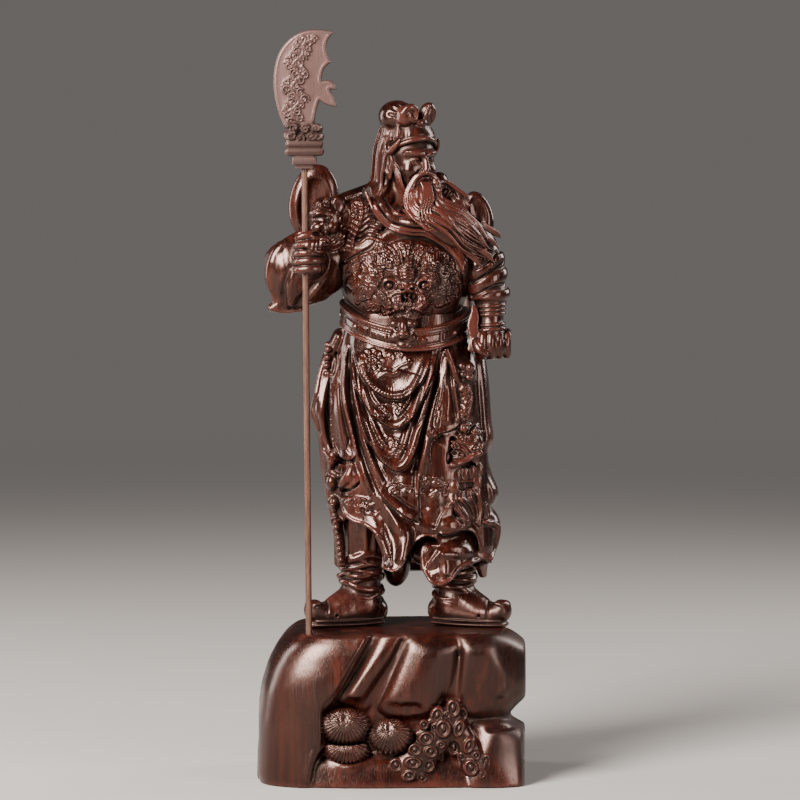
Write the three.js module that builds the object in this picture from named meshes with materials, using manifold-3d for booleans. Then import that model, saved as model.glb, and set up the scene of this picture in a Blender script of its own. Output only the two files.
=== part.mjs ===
// A carved hardwood statue: a long-bearded guardian in armour and robes stands on a rock, with a
// crescent-bladed pole arm upright in one fist. The figure and its rock are carved from one block. The pole
// arm is a separate rod with a carved blade head pushed onto it. Millimetres, +Z up, the front faces -Y.
import * as THREE from "three";
import { mergeVertices } from "three/addons/utils/BufferGeometryUtils.js";
import Module from "manifold-3d";

const wasm = await Module();
wasm.setup();

// Driving sizes
const figureHeight = 281; // soles to the top of the cap knot
const rockWidth = 144;
const rockDepth = 104;
const rockHeight = 81;
const rodDiameter = 3.4;
const rodClearance = 0.3; // the gap all round the rod where it passes through wood
const rodStandsInRock = 6; // depth of the hole that takes the rod's foot
const rodEntersHead = 12; // depth of the hole under the blade head
const headAboveRock = 246; // the blade head's underside over the rock's top
const bladeHeadHeight = 73;
const bladeHeadWidth = 34; // cutting edge to the tips of the hooks
const bladeThickness = 4.2;
const collarDepth = 10.5; // the collar below the blade, front to back
const finestEdge = 0.1; // where two forms meet, facets that stand out less than this are merged

// Where things stand on the rock, from its middle
const bodyAxis = { x: 8.5, y: 3 };
const rodFoot = { x: -43.6, y: -33 };
const rodLean = 0.45; // degrees, towards the figure's right

// The figure is posed in its own frame, in millimetres of a figure this tall: x from the body's axis,
// z from the soles
const posedHeight = 281;
const figureScale = figureHeight / posedHeight;
const figureFrame = new THREE.Matrix4().compose(
  new THREE.Vector3(bodyAxis.x, bodyAxis.y, rockHeight),
  new THREE.Quaternion(),
  new THREE.Vector3(figureScale, figureScale, figureScale),
);
const headTurn = 35; // degrees towards the figure's left
const headBow = 7; // degrees down
const headFrame = new THREE.Matrix4()
  .makeTranslation(2, -7, 247)
  .multiply(new THREE.Matrix4().makeRotationZ(THREE.MathUtils.degToRad(headTurn)))
  .multiply(new THREE.Matrix4().makeRotationX(THREE.MathUtils.degToRad(headBow)));

const v3 = (x, y, z) => new THREE.Vector3(x, y, z);
const lerp = THREE.MathUtils.lerp;
const smooth = THREE.MathUtils.smoothstep;

// Reads a table of [position, value] pairs, with straight runs between them.
function along(table, at) {
  const next = table.findIndex(([position]) => position >= at);
  if (next === 0) return table[0][1];
  if (next < 0) return table[table.length - 1][1];
  const [p0, a] = table[next - 1];
  const [p1, b] = table[next];
  return lerp(a, b, (at - p0) / (p1 - p0));
}

// Turns a closed geometry, moved by a frame, into a solid with its faces out.
function solid(geometry, frame) {
  const bare = geometry.clone();
  bare.deleteAttribute("normal");
  bare.deleteAttribute("uv");
  if (frame) bare.applyMatrix4(frame);
  const merged = mergeVertices(bare, 1e-4);
  const triVerts = new Uint32Array(merged.index.array);
  const vertProperties = merged.attributes.position.array;
  const made = new wasm.Manifold(new wasm.Mesh({ numProp: 3, vertProperties, triVerts }));
  if (made.volume() > 0) return made;
  for (let i = 0; i < triVerts.length; i += 3) triVerts.subarray(i, i + 2).reverse();
  return new wasm.Manifold(new wasm.Mesh({ numProp: 3, vertProperties, triVerts }));
}

const join = (solids) => solids.reduce((whole, piece) => whole.add(piece));

// Closes a stack of rings, each with as many points, with one point at either end.
function skin(rings, first, last) {
  const sides = rings[0].length;
  const points = [first, ...rings.flat(), last];
  const index = [];
  for (let i = 0; i < sides; i++) {
    const j = (i + 1) % sides;
    index.push(0, 1 + j, 1 + i);
    for (let r = 0; r < rings.length - 1; r++) {
      const a = 1 + r * sides;
      const b = a + sides;
      index.push(a + i, a + j, b + j, a + i, b + j, b + i);
    }
    const top = 1 + (rings.length - 1) * sides;
    index.push(top + i, top + j, points.length - 1);
  }
  return new THREE.BufferGeometry().setFromPoints(points).setIndex(index);
}

// A tapering limb through stations [x, y, z, half width, half thickness], closed by a point past each end.
// wide is the direction that the width lies in. flutes is the number and the depth of folds along the limb.
function limb(stations, { sides = 8, wide = [1, 0, 0], flutes = [0, 0] } = {}) {
  const curve = new THREE.CatmullRomCurve3(stations.map(([x, y, z]) => v3(x, y, z)), false, "centripetal");
  const last = stations.length - 1;
  const rings = stations.map(([, , , width, thickness = width], i) => {
    const middle = curve.getPoint(i / last);
    const forward = curve.getTangent(i / last);
    const side = v3(...wide).addScaledVector(forward, -v3(...wide).dot(forward)).normalize();
    const over = forward.clone().cross(side);
    return Array.from({ length: sides }, (_, k) => {
      const turn = (2 * Math.PI * (k + 0.5)) / sides;
      const fold = 1 + flutes[1] * Math.sin(flutes[0] * turn);
      return middle
        .clone()
        .addScaledVector(side, width * Math.cos(turn))
        .addScaledVector(over, thickness * fold * Math.sin(turn));
    });
  });
  const past = (i, direction) => {
    const reach = 0.7 * Math.min(...stations[i].slice(3));
    return curve.getPoint(i / last).addScaledVector(curve.getTangent(i / last), direction * reach);
  };
  return skin(rings, past(0, -1), past(last, 1));
}

// An ellipsoid with its middle, half sizes and turns about X, Y and Z in degrees.
function egg(middle, radii, { turns = [0, 0, 0], sides = 6, rows = 4 } = {}) {
  const angles = turns.map(THREE.MathUtils.degToRad);
  return new THREE.SphereGeometry(1, sides, rows).applyMatrix4(
    new THREE.Matrix4().compose(
      v3(...middle),
      new THREE.Quaternion().setFromEuler(new THREE.Euler(...angles)),
      v3(...radii),
    ),
  );
}

// A body of stacked rings. outline(turn, rise) gives a point, for turn 0 to 1 round the body from its front
// towards +X and rise 0 to 1 up it. The ends close at the middle of their ring, or dished to a given point.
function stack(outline, sides, levels, dish) {
  const rings = Array.from({ length: levels + 1 }, (_, level) =>
    Array.from({ length: sides }, (_, i) => outline(i / sides, level / levels)),
  );
  const middleOf = (ring) => ring.reduce((sum, p) => sum.add(p), v3(0, 0, 0)).divideScalar(sides);
  return skin(rings, dish ?? middleOf(rings[0]), middleOf(rings[levels]));
}

// Rock: side profiles as [height, half width] in shares of the rock's own height and half width
const rockLeft = [
  [0, 0.98], [0.06, 1], [0.4, 0.995], [0.62, 0.965],
  [0.78, 0.91], [0.9, 0.84], [0.97, 0.77], [1, 0.7],
];
const rockRight = [
  [0, 0.98], [0.06, 1], [0.27, 0.995], [0.37, 0.93], [0.43, 0.82], [0.47, 0.83],
  [0.57, 0.94], [0.73, 0.99], [0.87, 0.97], [0.95, 0.89], [1, 0.77],
];
const rockLevels = [0, 0.06, 0.26, 0.38, 0.45, 0.56, 0.76, 0.92, 1];

function rockOutline(turn, rise) {
  const share = along(rockLevels.map((level, i) => [i / (rockLevels.length - 1), level]), rise);
  const angle = 2 * Math.PI * turn;
  const square = 0.42;
  const across = Math.sign(Math.sin(angle)) * Math.abs(Math.sin(angle)) ** square;
  const back = -Math.sign(Math.cos(angle)) * Math.abs(Math.cos(angle)) ** square;
  const side = along(across < 0 ? rockLeft : rockRight, share);
  const lean = along([[0, 1], [0.7, 0.97], [0.9, 0.92], [1, 0.84]], share);
  // the hollow behind the boulders, and deeper under them, on the right two thirds of the front
  const boulderSide = smooth(across, -0.5, -0.25);
  const hollow = along([[0, 0.02], [0.08, 0.1], [0.26, 0.2], [0.45, 0.26], [0.56, 0.14], [1, 0.06]], share);
  const front = back < 0 ? 1 - boulderSide * hollow : 1;
  return v3((rockWidth / 2) * side * across, (rockDepth / 2) * lean * back * front, rockHeight * share);
}

// Points on the rock's front run from its middle line and its foot, in shares of half width and height.
const onRock = (x, y, z) => [(x * rockWidth) / 2, (-y * rockDepth) / 2, z * rockHeight];

// The water-worn boulders lie side by side on the front, and each leans down to the figure's right.
// Each is [x, y, z, half width, half thickness] from its top to its foot.
const boulders = [
  [[-0.1, 0.7, 0.94, 9, 9], [-0.17, 0.8, 0.78, 9, 9], [-0.27, 0.8, 0.62, 8, 8]],
  [[0.29, 0.68, 0.92, 14, 9], [0.19, 0.8, 0.74, 16, 10], [0.07, 0.8, 0.58, 16, 9]],
  [[0.6, 0.7, 0.92, 11, 9], [0.6, 0.78, 0.76, 12, 10], [0.58, 0.76, 0.6, 10, 8]],
  [[0.78, 0.6, 0.9, 11, 12], [0.83, 0.68, 0.72, 12, 14], [0.8, 0.68, 0.52, 11, 12]],
];
const footBoulder = [[0.74, 0.68, 0.34, 14, 10], [0.8, 0.76, 0.18, 16, 11], [0.8, 0.78, 0.02, 16, 11]];

// A pine tuft: a fluted dome facing the front.
function tuft(middle, radius, depth) {
  const needles = 9;
  const outline = (turn, rise) => {
    const flute = Math.round(turn * needles * 2) % 2 ? 1 : 0.9;
    const reach = radius * flute * (1 - 0.7 * rise);
    const angle = 2 * Math.PI * turn;
    return v3(reach * Math.sin(angle), reach * Math.cos(angle), depth * Math.sqrt(rise));
  };
  const facing = new THREE.Matrix4().makeRotationX(Math.PI / 2 + 0.25).setPosition(...middle);
  return stack(outline, needles * 2, 1).applyMatrix4(facing);
}

// The pine's trunk and branch, each [x, y, z, half width], with scales of bark in two rows down the front.
const pineTrunk = [
  [0.52, 0.76, 0.56, 7], [0.4, 0.84, 0.42, 10],
  [0.2, 0.87, 0.22, 12], [0.11, 0.89, 0.08, 12],
];
const pineBranch = [[0.46, 0.82, 0.4, 7], [0.58, 0.86, 0.26, 9], [0.7, 0.88, 0.12, 7]];

function pine() {
  const depth = 5;
  const limbs = [pineTrunk, pineBranch].map((path) =>
    limb(path.map(([x, y, z, wide]) => [...onRock(x, y, z), wide, depth]), { sides: 7 }),
  );
  const scales = [];
  const bark = (path, count) => {
    for (let i = 0; i < count; i++) {
      const at = ((path.length - 1) * (i + 0.5)) / count;
      const [x, y, z, wide] = [0, 1, 2, 3].map((k) => along(path.map((station, n) => [n, station[k]]), at));
      const side = i % 2 ? 0.45 : -0.45;
      const place = onRock(x, y, z);
      const middle = [place[0] + side * wide, place[1] - depth * 0.7, place[2]];
      scales.push(egg(middle, [3.8, 2.4, 4], { rows: 3 }));
    }
  };
  bark(pineTrunk, 5);
  bark(pineBranch, 2);
  const tufts = [
    tuft(onRock(-0.33, 0.8, 0.45), 12, 8),
    tuft(onRock(-0.31, 0.84, 0.24), 12, 7),
    tuft(onRock(-0.015, 0.76, 0.38), 11, 8),
  ];
  return [...tufts, ...limbs, ...scales];
}

function rock() {
  const body = stack(rockOutline, 28, rockLevels.length - 1);
  const lumps = [...boulders, footBoulder].map((path) =>
    limb(path.map(([x, y, z, wide, thick]) => [...onRock(x, y, z), wide, thick]), { sides: 7 }),
  );
  const block = new THREE.BoxGeometry(rockWidth, rockDepth, 4 * rockHeight).translate(0, 0, 2 * rockHeight);
  return join([body, ...lumps, ...pine()].map((g) => solid(g))).intersect(solid(block));
}

// Boots: the foot runs from heel to a turned-up toe, and the wrapped shaft rises out of it
function boot(x, y, outward) {
  const to = (forward, z, wide, thick) => [x + outward * forward * 0.9, y - forward * 0.42, z, wide, thick];
  const heelToToe = [
    to(-11, 5, 8, 5.5), to(3, 6.5, 9.5, 7), to(16, 5.5, 8.5, 6), to(25, 5, 6.5, 5), to(29, 9.5, 4.5, 4),
  ];
  const foot = limb(heelToToe, { wide: [0.42 * outward, 0.9, 0] });
  const wraps = Array.from({ length: 7 }, (_, i) => {
    const around = 10 + i * 0.5 + (i % 2 ? 1.1 : -0.4);
    return [x, y, 8 + i * 3.2, around, around - 0.5];
  });
  return [foot, limb([...wraps, [x, y + 1, 52, 16, 15]])];
}

// Robe: half sizes by height over the soles
const robeWide = [[24, 43], [40, 42], [60, 43], [100, 44], [120, 43], [140, 40], [152, 36], [162, 33]];
const robeDeep = [[24, 35], [60, 32], [100, 32], [120, 31], [140, 29], [152, 27], [162, 25.5]];

// The cloth hangs across the front in swags, each a rolled fold from under the belt to its lowest point.
const swagMiddle = -6;
const swags = [
  { foot: 66, top: 146, reach: 34 },
  { foot: 87, top: 150, reach: 31 },
  { foot: 109, top: 154, reach: 27 },
  { foot: 126, top: 157, reach: 22 },
];
const waist = 162;

// How high the hem hangs over the soles, by its place across the front in mm.
const frontHem = [
  [-46, 72], [-38, 66], [-30, 60], [-20, 45], [-13, 34], [-7, 31], [-1, 38],
  [5, 47], [11, 40], [18, 29], [25, 27], [33, 33], [40, 38], [46, 34],
];

function hem(angle) {
  const across = 46 * Math.sin(angle);
  const frontShare = smooth(Math.cos(angle), -0.15, 0.2);
  const back = 26 + 3 * Math.cos(9 * angle);
  return lerp(back, along(frontHem, across), frontShare);
}

// The robe's rings: the hem, then the crest and the hollow of each swag, and the waist.
function robeRing(angle, level) {
  if (level === 0) return { z: hem(angle), out: 1.5 };
  if (level > 2 * swags.length) return { z: waist, out: 0 };
  const { foot, top, reach } = swags[(level - 1) >> 1];
  const hollow = level % 2 === 0;
  const spread = Math.min(1, Math.abs(44 * Math.sin(angle) - swagMiddle) / reach);
  const hung = lerp(foot, top, spread ** 2.3) + (hollow ? lerp(6, 1.5, spread) : 0);
  const level0 = lerp(hem(angle), waist, level / (2 * swags.length + 1));
  const facing = smooth(Math.cos(angle), 0.05, 0.4);
  return { z: lerp(level0, hung, facing), out: facing * (hollow ? -1.3 : 2.2) * (1 - 0.7 * spread) };
}

function robeOutline(turn, rise) {
  const angle = 2 * Math.PI * turn;
  const { z, out } = robeRing(angle, Math.round(rise * (2 * swags.length + 1)));
  const low = 1 - smooth(z, 30, 120);
  const reach = out + Math.cos(10 * angle + 0.6) * (0.5 + 2.6 * low);
  const [wide, deep] = [along(robeWide, z) + reach, along(robeDeep, z) + reach];
  return v3(wide * Math.sin(angle), -deep * Math.cos(angle), z);
}

// A point on the robe, a little way out from its plain shape.
function onRobe(x, z, out) {
  const share = Math.min(1, Math.abs(x) / along(robeWide, z));
  return [x, -along(robeDeep, z) * Math.sqrt(1 - share * share) - out, z];
}

function robe() {
  const cloth = stack(robeOutline, 40, 2 * swags.length + 1, v3(0, 2, 58));
  const pleat = (top, foot) =>
    limb([[...onRobe(...top, -1), 3, 2.6], [...onRobe(...foot, -0.5), 5, 3.4]], { sides: 5 });
  const pleats = [pleat([19, 150], [13, 52]), pleat([22, 150], [24, 40]), pleat([-29, 148], [-24, 58])];
  const backHang = egg([-4, 14, 34], [11, 11, 14], { sides: 8, rows: 5 });
  const leftPanel = limb(
    [
      [-38, 2, 150, 8, 4], [-44, 1, 134, 10, 5], [-46, 0, 113, 11, 5],
      [-42, 1, 96, 10, 5], [-41, 1, 58, 8, 4],
    ],
    { wide: [0, 1, 0], sides: 6 },
  );
  const rightPanel = limb(
    [
      [37, 2, 150, 8, 4], [40, 0, 120, 10, 5], [44, 0, 78, 12, 5],
      [42, 0, 62, 11, 5], [45, -1, 52, 11, 5], [41, -2, 36, 9, 5],
    ],
    { wide: [0, 1, 0], sides: 6 },
  );
  const beads = Array.from({ length: 7 }, (_, i) => [
    ...onRobe(32 + i * 0.4, 140 - i * 11, 0.5), i % 2 ? 6.5 : 3.5, 3.2,
  ]);
  const pendant = limb(beads, { sides: 5 });
  return [cloth, ...pleats, backHang, leftPanel, rightPanel, pendant];
}

function torso() {
  const belly = egg([-1, -1, 188], [36, 29, 34], { sides: 16, rows: 8 });
  const chest = egg([0, 2, 210], [37, 22, 22], { sides: 10, rows: 6 });
  const shoulders = limb([[-33, 1, 213, 12, 12], [0, 3, 221, 12, 14], [29, 1, 213, 12, 12]], {
    wide: [0, 1, 0],
    sides: 7,
  });
  const neck = limb([[0, 2, 226, 10, 9], [2, -3, 240, 9, 9]], { sides: 6 });
  const [beltWide, beltDeep, beltHeight] = [35, 30.5, 13];
  const beltOutline = (turn, rise) => {
    const angle = 2 * Math.PI * turn;
    const swell = along([[0, -2], [0.34, 1.8], [0.67, 1.2], [1, 1.6]], rise);
    const hung = waist - 5 * Math.cos(angle) - 2 * Math.sin(angle); // low in front, high over the near hip
    const z = hung + (rise - 0.5) * beltHeight;
    return v3((beltWide + swell) * Math.sin(angle) - 1, -(beltDeep + swell) * Math.cos(angle) - 1, z);
  };
  const belt = stack(beltOutline, 20, 3);
  const buckle = [
    egg([-2.5, -33, 161], [8, 4.5, 8], { sides: 8, rows: 5 }),
    egg([-2.5, -34, 152], [5.5, 4, 5]),
  ];
  return [belly, chest, shoulders, neck, belt, ...buckle, ...chestBeast(), ...chestCloth()];
}

// The beast mask on the breastplate: eyes, nose, muzzle and a mane of locks raised from the belly.
function chestBeast() {
  const onBelly = (x, z, out) => {
    const share = ((x + 1) / 36) ** 2 + ((z - 188) / 34) ** 2;
    return [x, -1 - 29 * Math.sqrt(Math.max(0, 1 - share)) - out, z];
  };
  const mane = Array.from({ length: 7 }, (_, i) => {
    const angle = THREE.MathUtils.degToRad(lerp(-125, 125, i / 6));
    const place = (reach) => [-1 + reach * 1.25 * Math.sin(angle), 184 + reach * 0.95 * Math.cos(angle)];
    const lock = [[...onBelly(...place(11), -0.5), 2.8, 2.6], [...onBelly(...place(22), -1.5), 1.6, 1.8]];
    return limb(lock, { sides: 4 });
  });
  const muzzle = egg(onBelly(-1, 181, 0), [7, 3.5, 4.5]);
  const nose = egg(onBelly(-1, 187, 0), [3.4, 3.2, 4]);
  const eyes = [-1, 1].map((side) => egg(onBelly(-1 + side * 7.5, 189.5, -0.5), [3.2, 2.6, 2.4]));
  return [muzzle, nose, ...eyes, ...mane];
}

// The folded cloth edge across the chest, and the scarf that passes under the beard.
function chestCloth() {
  const fold = limb(
    [[-33, -20, 199, 3, 2.6], [-22, -26, 205, 3.4, 3], [-14, -24, 214, 3, 3], [-3, -21, 220, 2.4, 3]],
    { sides: 5 },
  );
  const scarf = limb(
    [
      [-14, -9, 229, 3, 3], [-8, -18, 218, 3, 3], [4, -24, 213, 3.4, 3.4],
      [18, -25, 208, 3.4, 3.4], [29, -20, 201, 2.4, 2.4],
    ],
    { sides: 5 },
  );
  const plate = egg([-22, -13, 219], [12, 8, 10], { sides: 7, turns: [20, 0, 0] });
  return [fold, scarf, plate];
}

function rightArm() {
  const upper = limb([[-33, 0, 214, 12, 11], [-42, -3, 204, 11, 12], [-44, -8, 192, 11, 12]], { sides: 7 });
  const pauldron = egg([-42, -5, 217], [10.5, 12, 14], { sides: 10, rows: 6, turns: [0, -15, 0] });
  const beast = [
    egg([-46, -14, 219], [6, 4.5, 5]),
    egg([-43, -14, 211], [6.5, 5, 4]),
  ];
  const sleeve = limb(
    [
      [-36, -5, 195, 11, 9], [-46, -9, 193, 16, 11], [-57, -12, 190, 19, 12.5],
      [-66, -13, 189, 17, 10], [-70, -13, 187, 13, 6],
    ],
    { wide: [0, 0, 1] },
  );
  const sleeveTip = limb([[-52, -11, 184, 10, 8], [-63, -12, 177, 6, 6], [-71, -12, 172.5, 2.6, 3]], {
    wide: [0, 0, 1],
    sides: 5,
  });
  const wrist = limb([[-52, -14, 194, 9, 9], [-52, -30, 199, 6.5, 6.5]], { sides: 6 });
  return [upper, pauldron, ...beast, sleeve, sleeveTip, wrist, ...grippingHand()];
}

function grippingHand() {
  const palm = egg([-51, -33, 200], [8.2, 6, 10.5], { sides: 8, rows: 5 });
  const fingers = [0, 1, 2, 3].map((i) => {
    const z = 206.4 - i * 4.3;
    return limb([[-45, -35, z, 2.3], [-51, -41.5, z, 2.4], [-59, -37.5, z - 0.4, 2.2]], { sides: 4 });
  });
  const thumb = limb([[-46, -32, 208.5, 2.6], [-51, -38, 210.5, 2.5], [-57, -37, 208, 2.2]], { sides: 5 });
  return [palm, ...fingers, thumb];
}

function leftArm() {
  const upper = limb([[29, 0, 214, 12, 11], [36, -1, 205, 12.5, 12], [40.5, -3, 192, 11, 12]]);
  // two slack rolls of sleeve, then the narrower bracer with its rings
  const forearm = limb([
    [41.5, -4, 190, 10.6, 11], [42.6, -5, 185, 11.2, 11.4],
    [43.6, -6, 181, 9.6, 10], [44.6, -7, 176.5, 10, 10.4],
    [45, -8, 172.5, 7.6, 8], [45, -9, 168, 7.8, 8.2],
    [45, -10.4, 162, 6.8, 7.4], [45.2, -11.6, 156, 7.6, 7.8],
  ]);
  const fist = egg([44, -12.8, 151.5], [10.8, 8.3, 8.6], { sides: 8, rows: 6 });
  const knuckles = [0, 1, 2, 3].map((i) => {
    const [x, y] = [40.6 + i * 4.2, -18.6 + i * i * 0.7];
    return limb([[x, y, 156, 2.3, 2.6], [x, y - 0.3, 147.5, 2.3, 2.6]], { sides: 5 });
  });
  return [upper, forearm, fist, ...knuckles];
}

// Loose cloth behind the shoulders and at the neck
function capes() {
  const leaf = egg([-50, 8, 227], [13.5, 6, 21], { sides: 8, rows: 7, turns: [0, 8, 0] });
  const hollow = egg([-50, 0, 226], [9.5, 7.5, 17], { sides: 8, rows: 5, turns: [0, 8, 0] });
  const ribbonEnd = egg([38.5, -1, 221], [7.5, 5, 13], { sides: 6, rows: 6, turns: [0, -18, 0] });
  const shoulderCloth = limb([[-33, 4, 228, 6, 5], [-22, 4, 232, 7, 5], [-11, 5, 236, 7, 5]], {
    wide: [0, 1, 0],
    sides: 6,
  });
  const hairKnots = [egg([20, 0, 231], [8, 8, 6.5]), egg([27, -1, 225], [8, 8, 7.5])];
  const backCape = limb(
    [[0, 20, 226, 24, 6], [0, 25, 205, 32, 7], [0, 28, 150, 37, 8], [0, 30, 90, 40, 9], [0, 31, 36, 36, 8]],
    { sides: 20, flutes: [10, 0.28] },
  );
  return { added: [leaf, ribbonEnd, shoulderCloth, ...hairKnots, backCape], cut: hollow };
}

// The head is carved in its own frame, with the face towards -Y and the middle between the ears.
function head() {
  const skull = egg([0, 2, 1], [13, 14.5, 13], { sides: 10, rows: 6 });
  const face = egg([0, -4, -5], [10.5, 9.8, 12.5], { sides: 10, rows: 7 });
  const bridge = [[0, -12.4, 2.5, 1.6, 2], [0, -13.6, -1, 1.9, 2.2], [0, -14, -4, 2.8, 2.6]];
  const nose = limb(bridge, { sides: 6 });
  const pair = (make) => [-1, 1].map(make);
  const brows = pair((s) =>
    limb([[s * 2, -11.6, 3.6, 1.8], [s * 5.6, -10.6, 4.8, 2], [s * 9.2, -8, 4.4, 1.8]], { sides: 5 }),
  );
  const ears = pair((s) => egg([s * 12.4, 1.5, -2], [2.2, 3.6, 6.8]));
  const moustache = pair((s) =>
    limb([[s * 1, -13.4, -7, 1.8], [s * 5, -12, -9.5, 2], [s * 7.6, -10, -15, 1.6]], { sides: 5 }),
  );
  const cap = egg([0, 3, 10], [14.6, 16.2, 12.5], { sides: 10, rows: 6 });
  const rim = [[-14, 1, 3.5], [-11, -8.4, 8.2], [0, -12.6, 11], [11, -8.4, 8.2], [14, 1, 3.5]];
  const band = limb(rim.map((place) => [...place, 2.4, 2.8]), { wide: [0, 0, 1], sides: 4 });
  const bun = egg([-5, 3, 20], [9.5, 9, 9.5], { sides: 7 });
  const knot = [
    egg([6.5, -7, 23.5], [4.4, 4, 9], { sides: 6, turns: [8, 14, 0] }),
    egg([-5, -8, 22], [5.6, 4.4, 5.6]),
  ];
  const veil = limb([[-3, 13, 14, 11, 6], [-5, 15.5, -8, 12, 5], [-8, 13, -24, 14, 5]], { sides: 7 });
  return [skull, face, nose, ...brows, ...ears, ...moustache, cap, band, bun, ...knot, veil];
}

// The beard leaves the chin and is blown to the figure's left in a fan of long locks.
function beard() {
  const stations = [
    [6, -16, 234, 9, 4.5], [11, -21, 224, 11, 4.5], [21, -26, 215, 11, 4.5],
    [33, -26, 207, 8.5, 4.2], [42, -22, 199, 4.5, 3],
  ];
  return [limb(stations, { sides: 14, wide: [0.8, 0, 0.6], flutes: [7, 0.3] })];
}

// The rod's own frame: its axis is Z, with z = 0 at the rock's top.
const rodFrame = new THREE.Matrix4()
  .makeTranslation(rodFoot.x, rodFoot.y, rockHeight)
  .multiply(new THREE.Matrix4().makeRotationY(THREE.MathUtils.degToRad(-rodLean)));

const rodSides = 12;
function cylinder(radius, from, to) {
  return new THREE.CylinderGeometry(radius, radius, to - from, rodSides)
    .rotateX(Math.PI / 2)
    .translate(0, 0, (from + to) / 2);
}

function rod() {
  const foot = rodClearance - rodStandsInRock;
  const top = headAboveRock + rodEntersHead - rodClearance;
  return solid(cylinder(rodDiameter / 2, foot, top), rodFrame);
}

// The hole that the rod needs, in the fist and in the rock.
const holeRadius = rodDiameter / 2 + rodClearance;
const rodHole = () => solid(cylinder(holeRadius, -rodStandsInRock, headAboveRock), rodFrame);

// The blade head stands on z = 0 in the rod's frame: a stepped collar, a carved cap and the crescent blade.
function bladeHead() {
  const w = bladeHeadWidth / 34;
  const h = bladeHeadHeight / 73;
  const blade = new THREE.Shape();
  blade.moveTo(-10 * w, 21 * h);
  blade.bezierCurveTo(-16 * w, 33 * h, -17.5 * w, 46 * h, -14.5 * w, 57 * h);
  blade.bezierCurveTo(-12 * w, 66 * h, -4 * w, 72.5 * h, 4 * w, 73 * h);
  blade.quadraticCurveTo(11 * w, 73.4 * h, 16.5 * w, 71.6 * h);
  blade.quadraticCurveTo(8.5 * w, 65 * h, 14.8 * w, 55.8 * h); // the scalloped back, between two points
  blade.quadraticCurveTo(9.5 * w, 53.5 * h, 9.4 * w, 46 * h);
  blade.quadraticCurveTo(16 * w, 48 * h, 17.5 * w, 41.5 * h); // the upper hook
  blade.lineTo(13.6 * w, 41.6 * h);
  blade.quadraticCurveTo(16.6 * w, 37 * h, 17.5 * w, 32.4 * h); // the lower barb
  blade.quadraticCurveTo(12 * w, 32.6 * h, 8.4 * w, 36 * h);
  blade.quadraticCurveTo(5.6 * w, 30 * h, 5.4 * w, 21 * h);
  const flat = { depth: bladeThickness, bevelEnabled: false, curveSegments: 4 };
  const plate = new THREE.ExtrudeGeometry(blade, flat)
    .translate(0, 0, -bladeThickness / 2)
    .rotateX(Math.PI / 2);
  const ground = egg([6 * w, 0, 46 * h], [25 * w, bladeThickness * 0.72, 36 * h], { sides: 12, rows: 8 });
  const step = (halfWidth, halfDepth, from, to, taper = 1) =>
    stack(
      (turn, rise) => {
        const angle = 2 * Math.PI * turn;
        const square = 0.55;
        const grow = lerp(1, taper, rise);
        return v3(
          halfWidth * w * grow * Math.sign(Math.sin(angle)) * Math.abs(Math.sin(angle)) ** square,
          -halfDepth * grow * Math.sign(Math.cos(angle)) * Math.abs(Math.cos(angle)) ** square,
          lerp(from, to, rise) * h,
        );
      },
      12, 1,
    );
  const deep = collarDepth / 2;
  const collar = [
    step(5.6, deep * 0.72, 0, 5),
    step(7.8, deep * 0.88, 4.5, 8.6),
    step(11.4, deep, 8.2, 15.2, 0.97),
    step(10.2, deep * 0.9, 14.8, 20),
  ];
  const cloudCap = [-7.6, 0.4, 8.2].map((x, i) =>
    egg([x * w, 0, (20.5 + (i % 2) * 1.4) * h], [4.6, deep * 0.95, 3.6]),
  );
  const scroll = [31, 40, 49, 58, 66].map((z, i) =>
    egg([(-3.5 + (i % 2 ? 2 : -1) + i * 0.5) * w, 0, z * h], [3.6, bladeThickness / 2 + 0.7, 3.4]),
  );
  const onRod = rodFrame.clone().multiply(new THREE.Matrix4().makeTranslation(0, 0, headAboveRock));
  const groundPlate = solid(plate, onRod).intersect(solid(ground, onRod));
  const carving = [...collar, ...cloudCap, ...scroll].map((g) => solid(g, onRod));
  const whole = join([groundPlate, ...carving]);
  return whole.subtract(solid(cylinder(holeRadius, -1, rodEntersHead), onRod));
}

function figureOnRock() {
  const { added, cut } = capes();
  const cloth = join(added.map((g) => solid(g, figureFrame))).subtract(solid(cut, figureFrame));
  const boots = [...boot(-25, 0, -1), ...boot(26, 0, 1)];
  const inFigure = [...boots, ...robe(), ...torso(), ...rightArm(), ...leftArm(), ...beard()];
  const onHead = figureFrame.clone().multiply(headFrame);
  const carved = [...inFigure.map((g) => solid(g, figureFrame)), ...head().map((g) => solid(g, onHead))];
  const whole = rock().add(join(carved)).add(cloth).subtract(rodHole());
  return whole.asOriginal().simplify(finestEdge);
}

function mesh(name, made, material) {
  const { vertProperties, triVerts } = made.getMesh();
  const geometry = new THREE.BufferGeometry()
    .setAttribute("position", new THREE.BufferAttribute(vertProperties, 3))
    .setIndex(new THREE.BufferAttribute(triVerts, 1));
  geometry.computeVertexNormals();
  const named = new THREE.Mesh(geometry, material);
  named.name = name;
  return named;
}

const ebony = new THREE.MeshStandardMaterial({ color: 0x3b1710, roughness: 0.34, metalness: 0 });
const paleEbony = new THREE.MeshStandardMaterial({ color: 0x5a3a36, roughness: 0.5, metalness: 0 });
const rodWood = new THREE.MeshStandardMaterial({ color: 0x6a4436, roughness: 0.55, metalness: 0 });

const statue = new THREE.Group();
statue.add(
  mesh("figure_on_rock", figureOnRock(), ebony),
  mesh("pole_arm_blade", bladeHead(), paleEbony),
  mesh("pole_arm_rod", rod(), rodWood),
);

export default statue;
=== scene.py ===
from math import acos, atan2, cos, hypot, pi, radians, sin

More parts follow.
